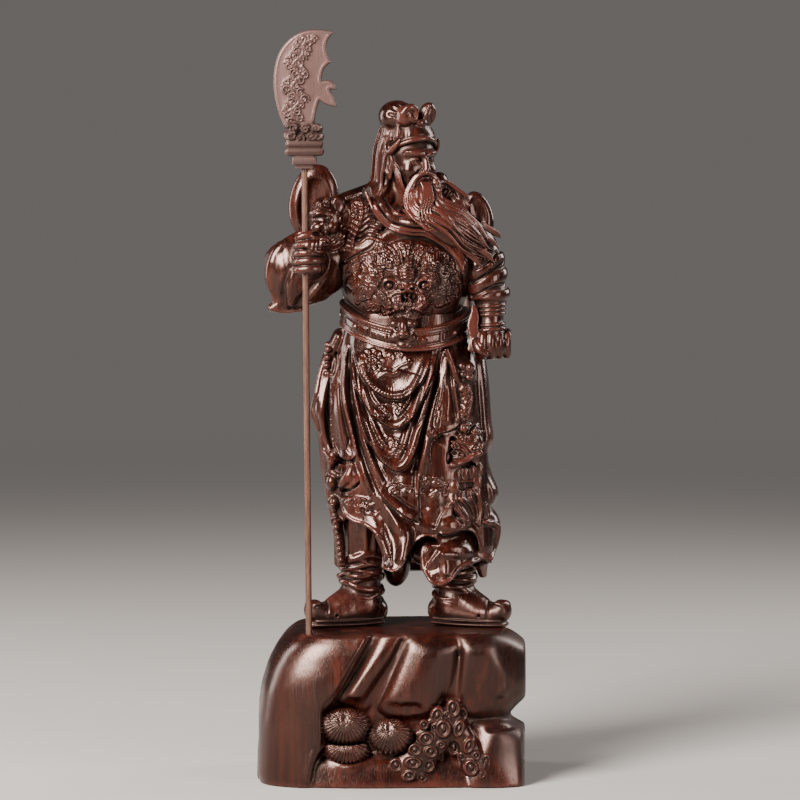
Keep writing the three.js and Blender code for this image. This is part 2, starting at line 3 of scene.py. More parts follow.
import bpy
import numpy as np
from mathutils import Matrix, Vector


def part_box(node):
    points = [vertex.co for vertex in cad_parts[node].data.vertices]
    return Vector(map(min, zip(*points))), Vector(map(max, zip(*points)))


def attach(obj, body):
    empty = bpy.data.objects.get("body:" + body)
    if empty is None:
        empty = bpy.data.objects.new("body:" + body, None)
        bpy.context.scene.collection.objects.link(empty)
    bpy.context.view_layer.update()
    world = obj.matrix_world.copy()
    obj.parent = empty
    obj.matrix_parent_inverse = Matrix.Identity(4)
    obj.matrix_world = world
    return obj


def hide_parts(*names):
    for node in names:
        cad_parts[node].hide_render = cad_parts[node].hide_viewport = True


# Each wooden piece is carved as a distance field on a grid of small cubes, then skinned.
# Lengths are millimetres until a piece is handed to Blender. The front faces -Y.

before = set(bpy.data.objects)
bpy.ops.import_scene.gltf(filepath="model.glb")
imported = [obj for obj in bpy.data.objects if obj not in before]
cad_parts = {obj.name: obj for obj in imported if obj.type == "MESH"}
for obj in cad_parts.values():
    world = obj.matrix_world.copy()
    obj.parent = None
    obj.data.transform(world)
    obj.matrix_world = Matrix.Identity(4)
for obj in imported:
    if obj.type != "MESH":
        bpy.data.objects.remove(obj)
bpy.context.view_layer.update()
print("frame loaded")

figureLow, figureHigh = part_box("figure_on_rock")
carved = {
    "height": 358.3,  # rock and figure together, as drawn below
    "rockHeight": 81,
    "bodyAxis": (8.5, 3),  # where the figure's own frame stands on the rock
}
rodAt = {
    "foot": (-43.6, -33, 81),
    "lean": 0.45,
    "headAbove": 246,
    "radius": 1.7,
    "holeRadius": 2,
    "holeFloor": 75,
    "inFist": (-52.1, -36, 200),  # in the figure's own frame
    "fistLean": 0.0079,
}
mm = (figureHigh.z - figureLow.z) / carved["height"]  # metres in one drawn millimetre
rockOrigin = np.array([(figureLow.x + figureHigh.x) / 2, (figureLow.y + figureHigh.y) / 2, figureLow.z])
figureOrigin = rockOrigin + mm * np.array([*carved["bodyAxis"], carved["rockHeight"]])


def mix(a, b, t):
    return a + (b - a) * t


def ease(x, start, end):
    t = np.clip((x - start) / (end - start), 0, 1)
    return t * t * (3 - 2 * t)


def fadeEnds(along, ends):
    return ease(along, 0, ends) * ease(1 - along, 0, ends) if ends else 1


def table(pairs, at, soft=0):
    # reads [position, value] pairs, with the corners rounded over the length soft
    p, v = zip(*pairs)
    if not soft:
        return np.interp(at, p, v)
    return sum(np.interp(at + s * soft, p, v) for s in (-1, -0.5, 0, 0.5, 1)) / 5


def blendMin(a, b, k):
    if k <= 0:
        return np.minimum(a, b)
    h = np.maximum(k - np.abs(a - b), 0) / k
    return np.minimum(a, b) - h * h * (k * 0.25)


def eggDistance(away, radii):
    outer = np.sqrt(sum((p / r) ** 2 for p, r in zip(away, radii)))
    inner = np.sqrt(sum((p / r**2) ** 2 for p, r in zip(away, radii))) + 1e-6
    return outer * (outer - 1) / inner


def mirrored(path, side):
    return [(side * x, *rest) for x, *rest in path]


def turned(x=0, y=0, z=0):
    # rows are a piece's own axes after turns about X, Y and Z in degrees
    a, b, c = (radians(v) for v in (x, y, z))
    turnX = np.array([[1, 0, 0], [0, cos(a), -sin(a)], [0, sin(a), cos(a)]])
    turnY = np.array([[cos(b), 0, sin(b)], [0, 1, 0], [-sin(b), 0, cos(b)]])
    turnZ = np.array([[cos(c), -sin(c), 0], [sin(c), cos(c), 0], [0, 0, 1]])
    return (turnZ @ turnY @ turnX).T


def spline(points, perSpan):
    # a smooth curve through the points, perSpan steps from each to the next, or the points as they are
    p = np.asarray(points, float)
    if len(p) < 2 or not perSpan:
        return p
    p = np.vstack([2 * p[0] - p[1], p, 2 * p[-1] - p[-2]])
    t = np.linspace(0, 1, perSpan, endpoint=False)[:, None]
    runs = []
    for i in range(1, len(p) - 2):
        a, b, c, d = p[i - 1 : i + 3]
        bend = 2 * b + (c - a) * t + (2 * a - 5 * b + 4 * c - d) * t**2 + (3 * b - a - 3 * c + d) * t**3
        runs.append(0.5 * bend)
    return np.vstack([*runs, p[-2:-1]])


class Drawing:
    # a relief drawn on an upright sheet: heights in mm over u (across) and z (up)

    def __init__(self, low, high, fine=0.25):
        self.u, self.z = np.arange(low[0], high[0], fine), np.arange(low[1], high[1], fine)
        self.fine = fine
        self.height = np.zeros((len(self.u), len(self.z)))
        self.topmost = False

    def near(self, low, high):
        cutU = slice(*np.searchsorted(self.u, (low[0], high[0])))
        cutZ = slice(*np.searchsorted(self.z, (low[1], high[1])))
        return (cutU, cutZ), self.u[cutU][:, None], self.z[cutZ][None, :]

    def away(self, path, reach):
        # distance from a line, below zero on its right hand, and the share along it
        p = np.asarray(path, float)
        cuts, u, z = self.near(p.min(0) - reach, p.max(0) + reach)
        best = np.full((u.size, z.size), 1e3)
        hand = np.ones_like(best)
        along = np.zeros_like(best)
        for i, (a, b) in enumerate(zip(p[:-1], p[1:])):
            run = b - a
            t = np.clip(((u - a[0]) * run[0] + (z - a[1]) * run[1]) / max(run @ run, 1e-9), 0, 1)
            d = np.hypot(u - a[0] - t * run[0], z - a[1] - t * run[1])
            cross = run[0] * (z - a[1]) - run[1] * (u - a[0])
            closer = d < best
            best[closer] = d[closer]
            hand[closer] = np.where(cross < 0, -1, 1)[closer]
            along[closer] = ((i + t) / (len(p) - 1))[closer]
        return cuts, best, hand, along

    def line(self, points, width, height, smooth=5, taper=0, ends=0):
        # a rounded ridge, or a groove where height is below zero
        cuts, d, _, along = self.away(spline(points, smooth), width * 2.4)
        w = width * (1 - taper * along)
        fade = fadeEnds(along, ends)
        ridgeWearAndHighlightStrength = height * fade * np.exp(-1.2 * (d / w) ** 2)
        below = self.height[cuts]
        self.height[cuts] = np.maximum(below, ridgeWearAndHighlightStrength) if self.topmost else below + ridgeWearAndHighlightStrength

    def lip(self, points, rise, width, drop, fall, bead=0, smooth=5, ends=0.12):
        # cloth that rises to an edge on the left hand of the line and drops away on its right
        reach = max(width, fall) * 3
        cuts, d, hand, along = self.away(spline(points, smooth), reach)
        fade = fadeEnds(along, ends)
        up = rise * (1 + d / width) * np.exp(-d / width)
        down = -drop * np.exp(-d / fall)
        edge = ease(d * hand, -0.7, 0.3)
        self.height[cuts] += fade * (mix(down, up, edge) + bead * np.exp(-((d / 0.9) ** 2)))

    def lines(self, paths, width, height, **how):
        for path in paths:
            self.line(path, width, height, **how)

    def spiral(self, at, radius, turns, width, height, start=0, hand=1, squash=1, tail=0):
        t = np.linspace(0.14, 1, 20)
        angle = radians(start) + hand * turns * 2 * pi * (1 - t)
        p = np.stack([at[0] + radius * t * np.cos(angle), at[1] + squash * radius * t * np.sin(angle)], 1)
        if tail:
            out = p[-1] - p[-2]
            p = np.vstack([p, p[-1] + out / np.linalg.norm(out) * tail])
        self.line(p, width, height, smooth=0)

    def ring(self, at, radii, width, height, tilt=0, share=(0, 1)):
        angle = np.linspace(2 * pi * share[0], 2 * pi * share[1], 22)
        c, s = cos(radians(tilt)), sin(radians(tilt))
        a, b = radii[0] * np.cos(angle), radii[1] * np.sin(angle)
        self.line(np.stack([at[0] + c * a - s * b, at[1] + s * a + c * b], 1), width, height, smooth=0)

    def disc(self, at, radii, height, soft=0.4):
        radii = np.asarray(radii, float)
        cuts, u, z = self.near(np.asarray(at) - radii * 1.4, np.asarray(at) + radii * 1.4)
        d = np.hypot((u - at[0]) / radii[0], (z - at[1]) / radii[1])
        self.height[cuts] += height * (1 - ease(d, 1 - soft, 1 + soft * 0.3))

    def cloud(self, at, size, hand=1, height=0.7, width=0.5):
        # two scrolls that curl towards each other under a three-lobed cap, with a trailing wisp
        x, z = at
        for side in (-1, 1):
            self.spiral(
                (x + side * size * 0.42, z - size * 0.05), size * 0.36, 1.5, width, height, 90, -side, 0.8)
        self.ring((x, z + size * 0.08), (size * 0.42, size * 0.42), width, height, 0, (0.02, 0.48))
        for side in (-1, 1):
            self.ring((x + side * size * 0.5, z), (size * 0.55, size * 0.42), width, height, 0, (0.12, 0.38))
        wisp = [
            (x + hand * size * 0.8, z - size * 0.05), (x + hand * size * 1.2, z - size * 0.22),
            (x + hand * size * 1.6, z)]
        self.line(wisp, width, height, taper=0.4)
        self.line([(a - hand * size * 0.1, b - size * 0.22) for a, b in wisp], width, height, taper=0.4)

    def at(self, u, z):
        i = np.clip((np.asarray(u, float) - self.u[0]) / self.fine, 0, len(self.u) - 1.001)
        k = np.clip((np.asarray(z, float) - self.z[0]) / self.fine, 0, len(self.z) - 1.001)
        i0, k0 = i.astype(int), k.astype(int)
        ti, tk = (i - i0)[:, None], (k - k0)[None, :]
        h = self.height
        low = mix(h[np.ix_(i0, k0)], h[np.ix_(i0 + 1, k0)], ti)
        high = mix(h[np.ix_(i0, k0 + 1)], h[np.ix_(i0 + 1, k0 + 1)], ti)
        return mix(low, high, tk).astype(np.float32)


class Block:
    # a block of wood as a distance field: below zero is wood

    def __init__(self, low, high, step):
        self.step = step
        self.axes = [np.arange(a, b + step, step, dtype=np.float32) for a, b in zip(low, high)]
        self.field = np.full([len(a) for a in self.axes], 9, np.float32)
        self.x, self.y, self.z = np.ix_(*self.axes)
        self.depth = None

    def near(self, low, high):
        cuts = tuple(slice(*np.searchsorted(a, (lo, hi))) for a, lo, hi in zip(self.axes, low, high))
        return cuts, np.ix_(*[a[c] for a, c in zip(self.axes, cuts)])

    def put(self, distance, blend=0, cuts=...):
        self.field[cuts] = blendMin(self.field[cuts], distance.astype(np.float32), blend)

    def take(self, distance, blend=0, cuts=...):
        # cuts away what lies inside the distance given
        self.field[cuts] = -blendMin(-self.field[cuts], distance.astype(np.float32), blend)

    def egg(self, at, radii, blend=1, axes=None, cut=False):
        at, radii = np.asarray(at, float), np.asarray(radii, float)
        reach = (radii.max() if axes is not None else radii) + blend + 2.5
        cuts, (x, y, z) = self.near(at - reach, at + reach)
        if 0 in self.field[cuts].shape:
            return
        local = [x - at[0], y - at[1], z - at[2]]
        if axes is not None:
            local = [row[0] * local[0] + row[1] * local[1] + row[2] * local[2] for row in axes]
        (self.take if cut else self.put)(eggDistance(local, radii), blend, cuts)

    def limb(self, stations, blend=1, wide=(1, 0, 0), cut=False, flutes=(0, 0), perSpan=4, edge=2):
        # a tapering limb through stations [x, y, z, half width, half thickness]
        rows = np.array([[*s[:4], s[4] if len(s) > 4 else s[3]] for s in stations], float)
        path = spline(rows, perSpan)
        path[:, 3:] = np.maximum(path[:, 3:], 0.15)
        reach = path[:, 3:].max(1) * (1 + flutes[1]) + blend + 2.5
        cuts, (x, y, z) = self.near(
            (path[:, :3] - reach[:, None]).min(0), (path[:, :3] + reach[:, None]).max(0))
        if 0 in self.field[cuts].shape:
            return
        whole = np.full(self.field[cuts].shape, 9, np.float32)
        for a, b, far in zip(path[:-1], path[1:], reach):
            run = b[:3] - a[:3]
            length = np.linalg.norm(run)
            if length < 1e-6:
                continue
            forward = run / length
            side = np.array(wide, float) - forward * np.dot(wide, forward)
            if np.linalg.norm(side) < 0.02:
                side = np.cross(forward, (0.3, 0.5, 0.8))
            side /= np.linalg.norm(side)
            over = np.cross(forward, side)
            low, high = np.minimum(a[:3], b[:3]) - far, np.maximum(a[:3], b[:3]) + far
            own = tuple(
                slice(*np.searchsorted(v.ravel(), (lo, hi))) for v, lo, hi in zip((x, y, z), low, high))
            px, py, pz = x[own[0]] - a[0], y[:, own[1]] - a[1], z[:, :, own[2]] - a[2]
            if 0 in (px.size, py.size, pz.size):
                continue
            ahead = forward[0] * px + forward[1] * py + forward[2] * pz
            t = np.clip(ahead / length, 0, 1)
            past = ahead - t * length
            s = side[0] * px + side[1] * py + side[2] * pz
            o = over[0] * px + over[1] * py + over[2] * pz
            w, h = mix(a[3], b[3], t), mix(a[4], b[4], t)
            if flutes[0]:
                fold = 1 + flutes[1] * np.cos(flutes[0] * np.arctan2(o / h, s / w))
                w, h = w * fold, h * fold
            m = np.minimum(w, h)
            if edge != 2:
                # under 2 the limb is ridged, over 2 it is boxy
                outer = (
                    np.abs(s / w) ** edge + np.abs(o / h) ** edge + np.abs(past / m) ** edge) ** (1 / edge)
                distance = (outer - 1) * m
            else:
                distance = eggDistance((s, o, past), (w, h, m))
            np.minimum(whole[own], distance.astype(np.float32), out=whole[own])
        (self.take if cut else self.put)(whole, blend, cuts)

    def look(self):
        # how deep the wood's front lies behind each point of the x-z sheet
        wood = self.field < 0
        first = wood.argmax(1)
        self.depth = self.axes[1][first].astype(float)
        self.depth[~wood.any(1)] = np.nan

    def frontAt(self, points):
        p = np.asarray(points, float)
        i = np.clip(np.round((p[:, 0] - self.axes[0][0]) / self.step).astype(int), 0, self.depth.shape[0] - 1)
        k = np.clip(np.round((p[:, 1] - self.axes[2][0]) / self.step).astype(int), 0, self.depth.shape[1] - 1)
        y = self.depth[i, k]
        known = ~np.isnan(y)
        if not known.any():
            return np.zeros(len(y))
        return np.interp(np.arange(len(y)), np.nonzero(known)[0], y[known])

    def frontOf(self, x, z):
        return self.frontAt([(x, z)])[0]

    def lay(self, points, width, rise, blend=0.8, thick=None, cut=False, smooth=4):
        # a strand laid on the front along points (x, z) or (x, z, half width)
        rows = np.array([[*p[:2], p[2] if len(p) > 2 else width] for p in points], float)
        path = spline(rows, smooth)
        y = self.frontAt(path[:, :2])
        if len(y) > 4:
            y[1:-1] = (y[:-2] + 2 * y[1:-1] + y[2:]) / 4
        half = path[:, 2] if thick is None else np.full(len(path), thick)
        centre = y + rise - half if cut else y - rise + half
        stations = np.stack([path[:, 0], centre, path[:, 1], path[:, 2], half], 1)
        self.limb(stations, blend, cut=cut, perSpan=1)

    def raiseFront(self, drawing, fadeFrom, fadeTo):
        # lifts the front by a drawn relief, which fades out between two depths
        relief = drawing.at(self.axes[0], self.axes[2])[:, None, :]
        self.field -= relief * (1 - ease(self.y, fadeFrom, fadeTo))

    def raiseSide(self, drawing, fadeFrom, fadeTo):
        self.field -= drawing.at(self.axes[1], self.axes[2])[None, :, :] * ease(self.x, fadeFrom, fadeTo)

    def skin(self):
        # points and quads where the field passes through zero
        f = self.field
        for axis in range(3):
            for end in (0, -1):
                face = [slice(None)] * 3
                face[axis] = end
                f[tuple(face)] = np.maximum(f[tuple(face)], 0.3 * self.step)
        inside = f < 0
        nx, ny, nz = f.shape
        corners = [(i, j, k) for i in (0, 1) for j in (0, 1) for k in (0, 1)]
        first = inside[:-1, :-1, :-1]
        mixed = np.zeros(first.shape, bool)
        for i, j, k in corners[1:]:
            mixed |= inside[i : nx - 1 + i, j : ny - 1 + j, k : nz - 1 + k] != first
        cells = np.array(np.nonzero(mixed))
        number = np.full(mixed.shape, -1, np.int32)
        number[tuple(cells)] = np.arange(cells.shape[1])
        value = {c: f[cells[0] + c[0], cells[1] + c[1], cells[2] + c[2]].astype(float) for c in corners}
        total, count = np.zeros((cells.shape[1], 3)), np.zeros(cells.shape[1])
        for c in corners:
            for axis in range(3):
                if c[axis]:
                    continue
                a, b = value[c], value[tuple(1 if n == axis else v for n, v in enumerate(c))]
                crosses = (a < 0) != (b < 0)
                share = np.where(crosses, a / np.where(crosses, a - b, 1), 0)
                for n in range(3):
                    total[:, n] += crosses * (share if n == axis else c[n])
                count += crosses
        points = (cells.T + total / count[:, None]) * self.step + [a[0] for a in self.axes]
        quads = []
        for axis in range(3):
            u, v = [n for n in range(3) if n != axis]
            low, high = [slice(1, n - 1) for n in f.shape], [slice(1, n - 1) for n in f.shape]
            low[axis], high[axis] = slice(0, -1), slice(1, None)
            enters = inside[tuple(high)]
            at = np.array(np.nonzero(inside[tuple(low)] != enters))
            flip = enters[tuple(at)] != (axis == 1)
            at[u] += 1
            at[v] += 1
            ring = []
            for du, dv in ((1, 1), (0, 1), (0, 0), (1, 0)):
                cell = at.copy()
                cell[u] -= du
                cell[v] -= dv
                ring.append(number[tuple(cell)])
            quad = np.array(ring).T
            quad[flip] = quad[flip][:, ::-1]
            quads.append(quad)
        return points, np.vstack(quads)

    def sample(self, points):
        # the field and its slope at any points
        at = (points - [a[0] for a in self.axes]) / self.step
        cell = np.clip(np.floor(at).astype(int), 0, np.array(self.field.shape) - 2)
        x, y, z = np.clip(at - cell, 0, 1).T
        i, j, k = cell.T
        f = self.field
        edges = {(b, c): (f[i, j + b, k + c], f[i + 1, j + b, k + c]) for b in (0, 1) for c in (0, 1)}
        across = {key: mix(*pair, x) for key, pair in edges.items()}
        steps = {key: pair[1] - pair[0] for key, pair in edges.items()}
        low, high = mix(across[0, 0], across[1, 0], y), mix(across[0, 1], across[1, 1], y)
        slopeX = mix(mix(steps[0, 0], steps[1, 0], y), mix(steps[0, 1], steps[1, 1], y), z)
        slopeY = mix(across[1, 0] - across[0, 0], across[1, 1] - across[0, 1], z)
        return mix(low, high, z), np.stack([slopeX, slopeY, high - low], 1) / self.step


pieces = []


def addObject(name, data):
    obj = bpy.data.objects.new(name, data)
    bpy.context.scene.collection.objects.link(obj)
    return obj


def makeMesh(name, points, faces):
    mesh = bpy.data.meshes.new(name)
    mesh.from_pydata(points.tolist(), [], faces)
    mesh.validate()
    return mesh


def readPoints(mesh, what):
    values = np.empty(len(mesh.vertices) * 3, np.float32)
    mesh.vertices.foreach_get(what, values)
    return values.reshape(-1, 3).astype(float)


def movePoints(mesh, place):
    mesh.vertices.foreach_set("co", place.astype(np.float32).ravel())


def triangleCount(obj):
    return sum(len(p.vertices) - 2 for p in obj.data.polygons)


def thin(obj, most):
    # fewer triangles on the plain parts, until the piece has at most as many as asked
    count = triangleCount(obj)
    if count <= most:
        return
    fewer = obj.modifiers.new("thin", "DECIMATE")
    fewer.ratio = most / count
    fewer.use_collapse_triangulate = True
    graph = bpy.context.evaluated_depsgraph_get()
    made = bpy.data.meshes.new_from_object(obj.evaluated_get(graph))
    old = obj.data
    obj.modifiers.clear()
    obj.data = made
    bpy.data.meshes.remove(old)


def pullStraysIn(mesh, block):
    # a point that the thinning threw off the skin goes back among its neighbours
    place = readPoints(mesh, "co")
    ends = np.empty(len(mesh.edges) * 2, np.int32)
    mesh.edges.foreach_get("vertices", ends)
    ends = ends.reshape(-1, 2)
    value, _ = block.sample(place)
    low, high = (np.array([a[n] for a in block.axes]) for n in (0, -1))
    away = np.any((place < low) | (place > high), axis=1) | (np.abs(value) > 1.2 * block.step)
    for point in np.nonzero(away)[0]:
        pairs = ends[(ends == point).any(axis=1)]
        others = pairs[pairs != point]
        others = others[~away[others]]
        if len(others):
            place[point] = place[others].mean(axis=0)
    movePoints(mesh, place)


def finishPiece(obj, node, material):
    obj.data.materials.append(material)
    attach(obj, "root")
    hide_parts(node)
    pieces.append(obj)
    print(f"carved {obj.name}: {triangleCount(obj)} triangles")


# Wood
# deep is the pores' dark tone and also the painted shade laid into recesses; the ridge tone is part rubbed
# wear and part painted highlight
wood = {
    "deep": (0.0022, 0.0007, 0.0006),
    "body": (0.0048, 0.0011, 0.0008),
    "streak": (0.044, 0.0080, 0.0042),
    "wearAndHighlightTone": (0.070, 0.019, 0.014),
}


def groupOf(name, inputs, outputs):
    tree = bpy.data.node_groups.new(name, "ShaderNodeTree")
    for label, value in inputs:
        tree.interface.new_socket(label, in_out="INPUT", socket_type="NodeSocketFloat").default_value = value
    for label in outputs:
        tree.interface.new_socket(label, in_out="OUTPUT", socket_type="NodeSocketFloat")
    return tree, tree.nodes.new("NodeGroupInput"), tree.nodes.new("NodeGroupOutput")


def fill(tree, made, values):
    # joins what comes from other nodes and writes plain values
    for key, value in values.items():
        if isinstance(value, bpy.types.NodeSocket):
            tree.links.new(value, made.inputs[key])
        else:
            made.inputs[key].default_value = value


def node(tree, kind, inputs=None, **settings):
    made = tree.nodes.new("ShaderNode" + kind)
    for key, value in settings.items():
        setattr(made, key, value)
    fill(tree, made, inputs or {})
    return made


def maths(tree, kind, *values, clamp=False):
    return node(tree, "Math", dict(enumerate(values)), operation=kind, use_clamp=clamp).outputs[0]


def ramp(tree, factor, stops):
    made = node(tree, "ValToRGB", {"Fac": factor})
    steps = made.color_ramp.elements
    while len(steps) < len(stops):
        steps.new(0.5)
    for step, (at, value) in zip(steps, stops):
        step.position = at
        step.color = (value, value, value, 1) if isinstance(value, (int, float)) else (*value, 1)
    return made.outputs["Color"]


def blendColour(tree, factor, a, b):
    a, b = ((*v, 1) if isinstance(v, tuple) else v for v in (a, b))
    return node(tree, "Mix", {0: factor, 6: a, 7: b}, data_type="RGBA").outputs[2]


def newMaterial(name):
    material = bpy.data.materials.new(name)
    material.use_nodes = True
    return material, material.node_tree, material.node_tree.nodes["Principled BSDF"]


def makeGrain():
    # ebony figure: long streaks up the piece, dark pores and slow patches
    tree, given, put = groupOf(
        "ebony grain",
        [("Streak Width", 1), ("Wander", 1), ("Seed", 0)],
        ["Streaks", "Pores", "Patches"],
    )
    place = node(tree, "TexCoord").outputs["Object"]
    seed = node(tree, "CombineXYZ", {0: given.outputs["Seed"], 1: given.outputs["Seed"]}).outputs[0]
    moved = node(tree, "VectorMath", {0: place, 1: seed}, operation="ADD").outputs[0]
    slow = node(tree, "TexNoise", {"Vector": moved, "Scale": 14, "Detail": 2})
    middle = (0.5, 0.5, 0.5)
    bend = node(tree, "VectorMath", {0: slow.outputs["Color"], 1: middle}, operation="SUBTRACT").outputs[0]
    amount = maths(tree, "MULTIPLY", given.outputs["Wander"], 0.012)
    bent = node(tree, "VectorMath", {0: bend, "Scale": amount}, operation="SCALE").outputs[0]
    warped = node(tree, "VectorMath", {0: moved, 1: bent}, operation="ADD").outputs[0]
    long = node(tree, "Mapping", {"Vector": warped, "Scale": (1, 1, 0.07)}).outputs[0]
    wide, fine = (maths(tree, "DIVIDE", scale, given.outputs["Streak Width"]) for scale in (150, 620))
    broad = node(tree, "TexNoise", {"Vector": long, "Scale": wide, "Detail": 3, "Roughness": 0.6}).outputs[0]
    thread = node(tree, "TexNoise", {"Vector": long, "Scale": fine, "Detail": 2, "Roughness": 0.6}).outputs[0]
    both = maths(tree, "MULTIPLY_ADD", thread, 0.4, maths(tree, "MULTIPLY", broad, 0.6))
    poreSpace = node(tree, "Mapping", {"Vector": warped, "Scale": (1, 1, 0.02)}).outputs[0]
    pores = node(tree, "TexNoise", {"Vector": poreSpace, "Scale": 1700, "Detail": 1}).outputs[0]
    fill(tree, put, {
        "Streaks": ramp(tree, both, [(0.4, 0), (0.5, 0.28), (0.62, 1)]),
        "Pores": ramp(tree, pores, [(0.56, 0), (0.68, 1)]),
        "Patches": slow.outputs[0],
    })
    return tree


def makeDepth():
    # painted shade that darkens the recesses, and lighter ridges that are part rubbed wear and part painted
    # highlight
    tree, given, put = groupOf(
        "carved depth",
        [("Recess", 1), ("Ridge", 1)],
        ["Recess", "Ridge"],
    )
    hollow, proud = (
        node(tree, "Attribute", attribute_name=label, attribute_type="GEOMETRY").outputs["Fac"]
        for label in ("hollow", "proud")
    )
    low = ramp(tree, hollow, [(0.06, 0), (0.3, 0.55), (0.62, 1)])
    high = ramp(tree, proud, [(0.12, 0), (0.6, 1)])
    fill(tree, put, {
        "Recess": maths(tree, "MULTIPLY", low, given.outputs["Recess"], clamp=True),
        "Ridge": maths(tree, "MULTIPLY", high, given.outputs["Ridge"], clamp=True),
    })
    return tree


grainGroup = makeGrain()
depthGroup = makeDepth()


def ebony(
    name, deep, body, streak, wearAndHighlightTone, shine=0.3, coat=0.35, streakWidth=1, seed=0, recessShadeStrength=1, ridgeWearAndHighlightStrength=1, bump=0.35
):
    material, tree, shader = newMaterial(name)
    grain = node(tree, "Group", {"Streak Width": streakWidth, "Seed": seed}, node_tree=grainGroup)
    depth = node(tree, "Group", {"Recess": recessShadeStrength, "Ridge": ridgeWearAndHighlightStrength}, node_tree=depthGroup)
    streaks, pores, patches = (grain.outputs[k] for k in ("Streaks", "Pores", "Patches"))
    paintedRecessShade, ridgeWearAndHighlight = depth.outputs["Recess"], depth.outputs["Ridge"]
    toned = ramp(tree, patches, [(0.35, 0), (0.65, 1)])
    share = maths(tree, "MULTIPLY", streaks, maths(tree, "MULTIPLY_ADD", toned, 0.6, 0.4))
    colour = blendColour(tree, share, body, streak)
    # pores darken to the deep tone; ridges lighten, part rubbed wear and part painted highlight; recesses
    # darken almost to black as painted shade
    for mask, strength, tone in ((pores, 0.55, deep), (ridgeWearAndHighlight, 0.5, wearAndHighlightTone), (paintedRecessShade, 0.94, deep)):
        colour = blendColour(tree, maths(tree, "MULTIPLY", mask, strength), colour, tone)
    rough = shine
    for mask, more in ((paintedRecessShade, 0.3), (pores, 0.1), (toned, 0.05)):
        rough = maths(tree, "MULTIPLY_ADD", mask, more, rough)
    place = node(tree, "TexCoord").outputs["Object"]
    tool = node(tree, "TexNoise", {"Vector": place, "Scale": 330, "Detail": 2, "Roughness": 0.45}).outputs[0]
    height = maths(tree, "MULTIPLY_ADD", pores, -0.22, maths(tree, "MULTIPLY", tool, 0.8))
    fill(tree, shader, {
        "Base Color": colour,
        "Roughness": rough,
        "Coat Weight": maths(tree, "MULTIPLY", maths(tree, "SUBTRACT", 1, paintedRecessShade), coat),
        "Coat Roughness": 0.18,
        "Coat IOR": 1.45,
        "IOR": 1.47,
        "Specular IOR Level": 0.6,
        "Specular Tint": (1, 0.66, 0.56, 1),
        "Normal": node(tree, "Bump", {"Height": height, "Strength": bump, "Distance": 0.00022}).outputs[0],
    })
    return material


bodyWood = ebony("polished ebony", **wood, shine=0.19, coat=0.1)
rockWood = ebony("rock ebony", **wood, shine=0.24, coat=0.1, streakWidth=1.7, seed=3, recessShadeStrength=1, bump=0.3)


def carve(
    name, block, most, axes=np.eye(3), shift=(0, 0, 0), origin=figureOrigin,
    material=bodyWood, node="figure_on_rock",
):
    # skins the block, sets it in its place and notes how hollow or proud each point is
    points, quads = block.skin()
    for _ in range(2):
        value, slope = block.sample(points)
        size = np.maximum((slope**2).sum(1), 0.2)
        move = slope * (value / size)[:, None]
        length = np.sqrt((move**2).sum(1))[:, None] + 1e-9
        points -= move * np.minimum(1, 0.35 * block.step / length)
    obj = addObject(name, makeMesh(name, points, quads.tolist()))
    thin(obj, most)
    mesh = obj.data
    pullStraysIn(mesh, block)
    mesh.name = name
    place, normal = readPoints(mesh, "co"), readPoints(mesh, "normal")
    # hollow, from the field sampled outward, drives the painted shade in recesses; proud drives the ridges'
    # wear and painted highlight
    hollow, proud = np.zeros(len(place)), np.zeros(len(place))
    for reach, weight in ((0.9, 0.3), (1.8, 0.3), (3.6, 0.25), (6, 0.15)):
        over, _ = block.sample(place + normal * reach)
        under, _ = block.sample(place - normal * reach)
        hollow += weight * np.clip(1 - over / reach, 0, 1.4)
        proud += weight * np.clip(1 + under / reach, 0, 1.4)
    for label, values in (("hollow", hollow), ("proud", proud)):
        mesh.attributes.new(label, "FLOAT", "POINT").data.foreach_set("value", values.astype(np.float32))
    movePoints(mesh, origin + mm * (place @ axes + np.asarray(shift, float)))
    mesh.polygons.foreach_set("use_smooth", np.ones(len(mesh.polygons), bool))
    mesh.update()
    finishPiece(obj, node, material)


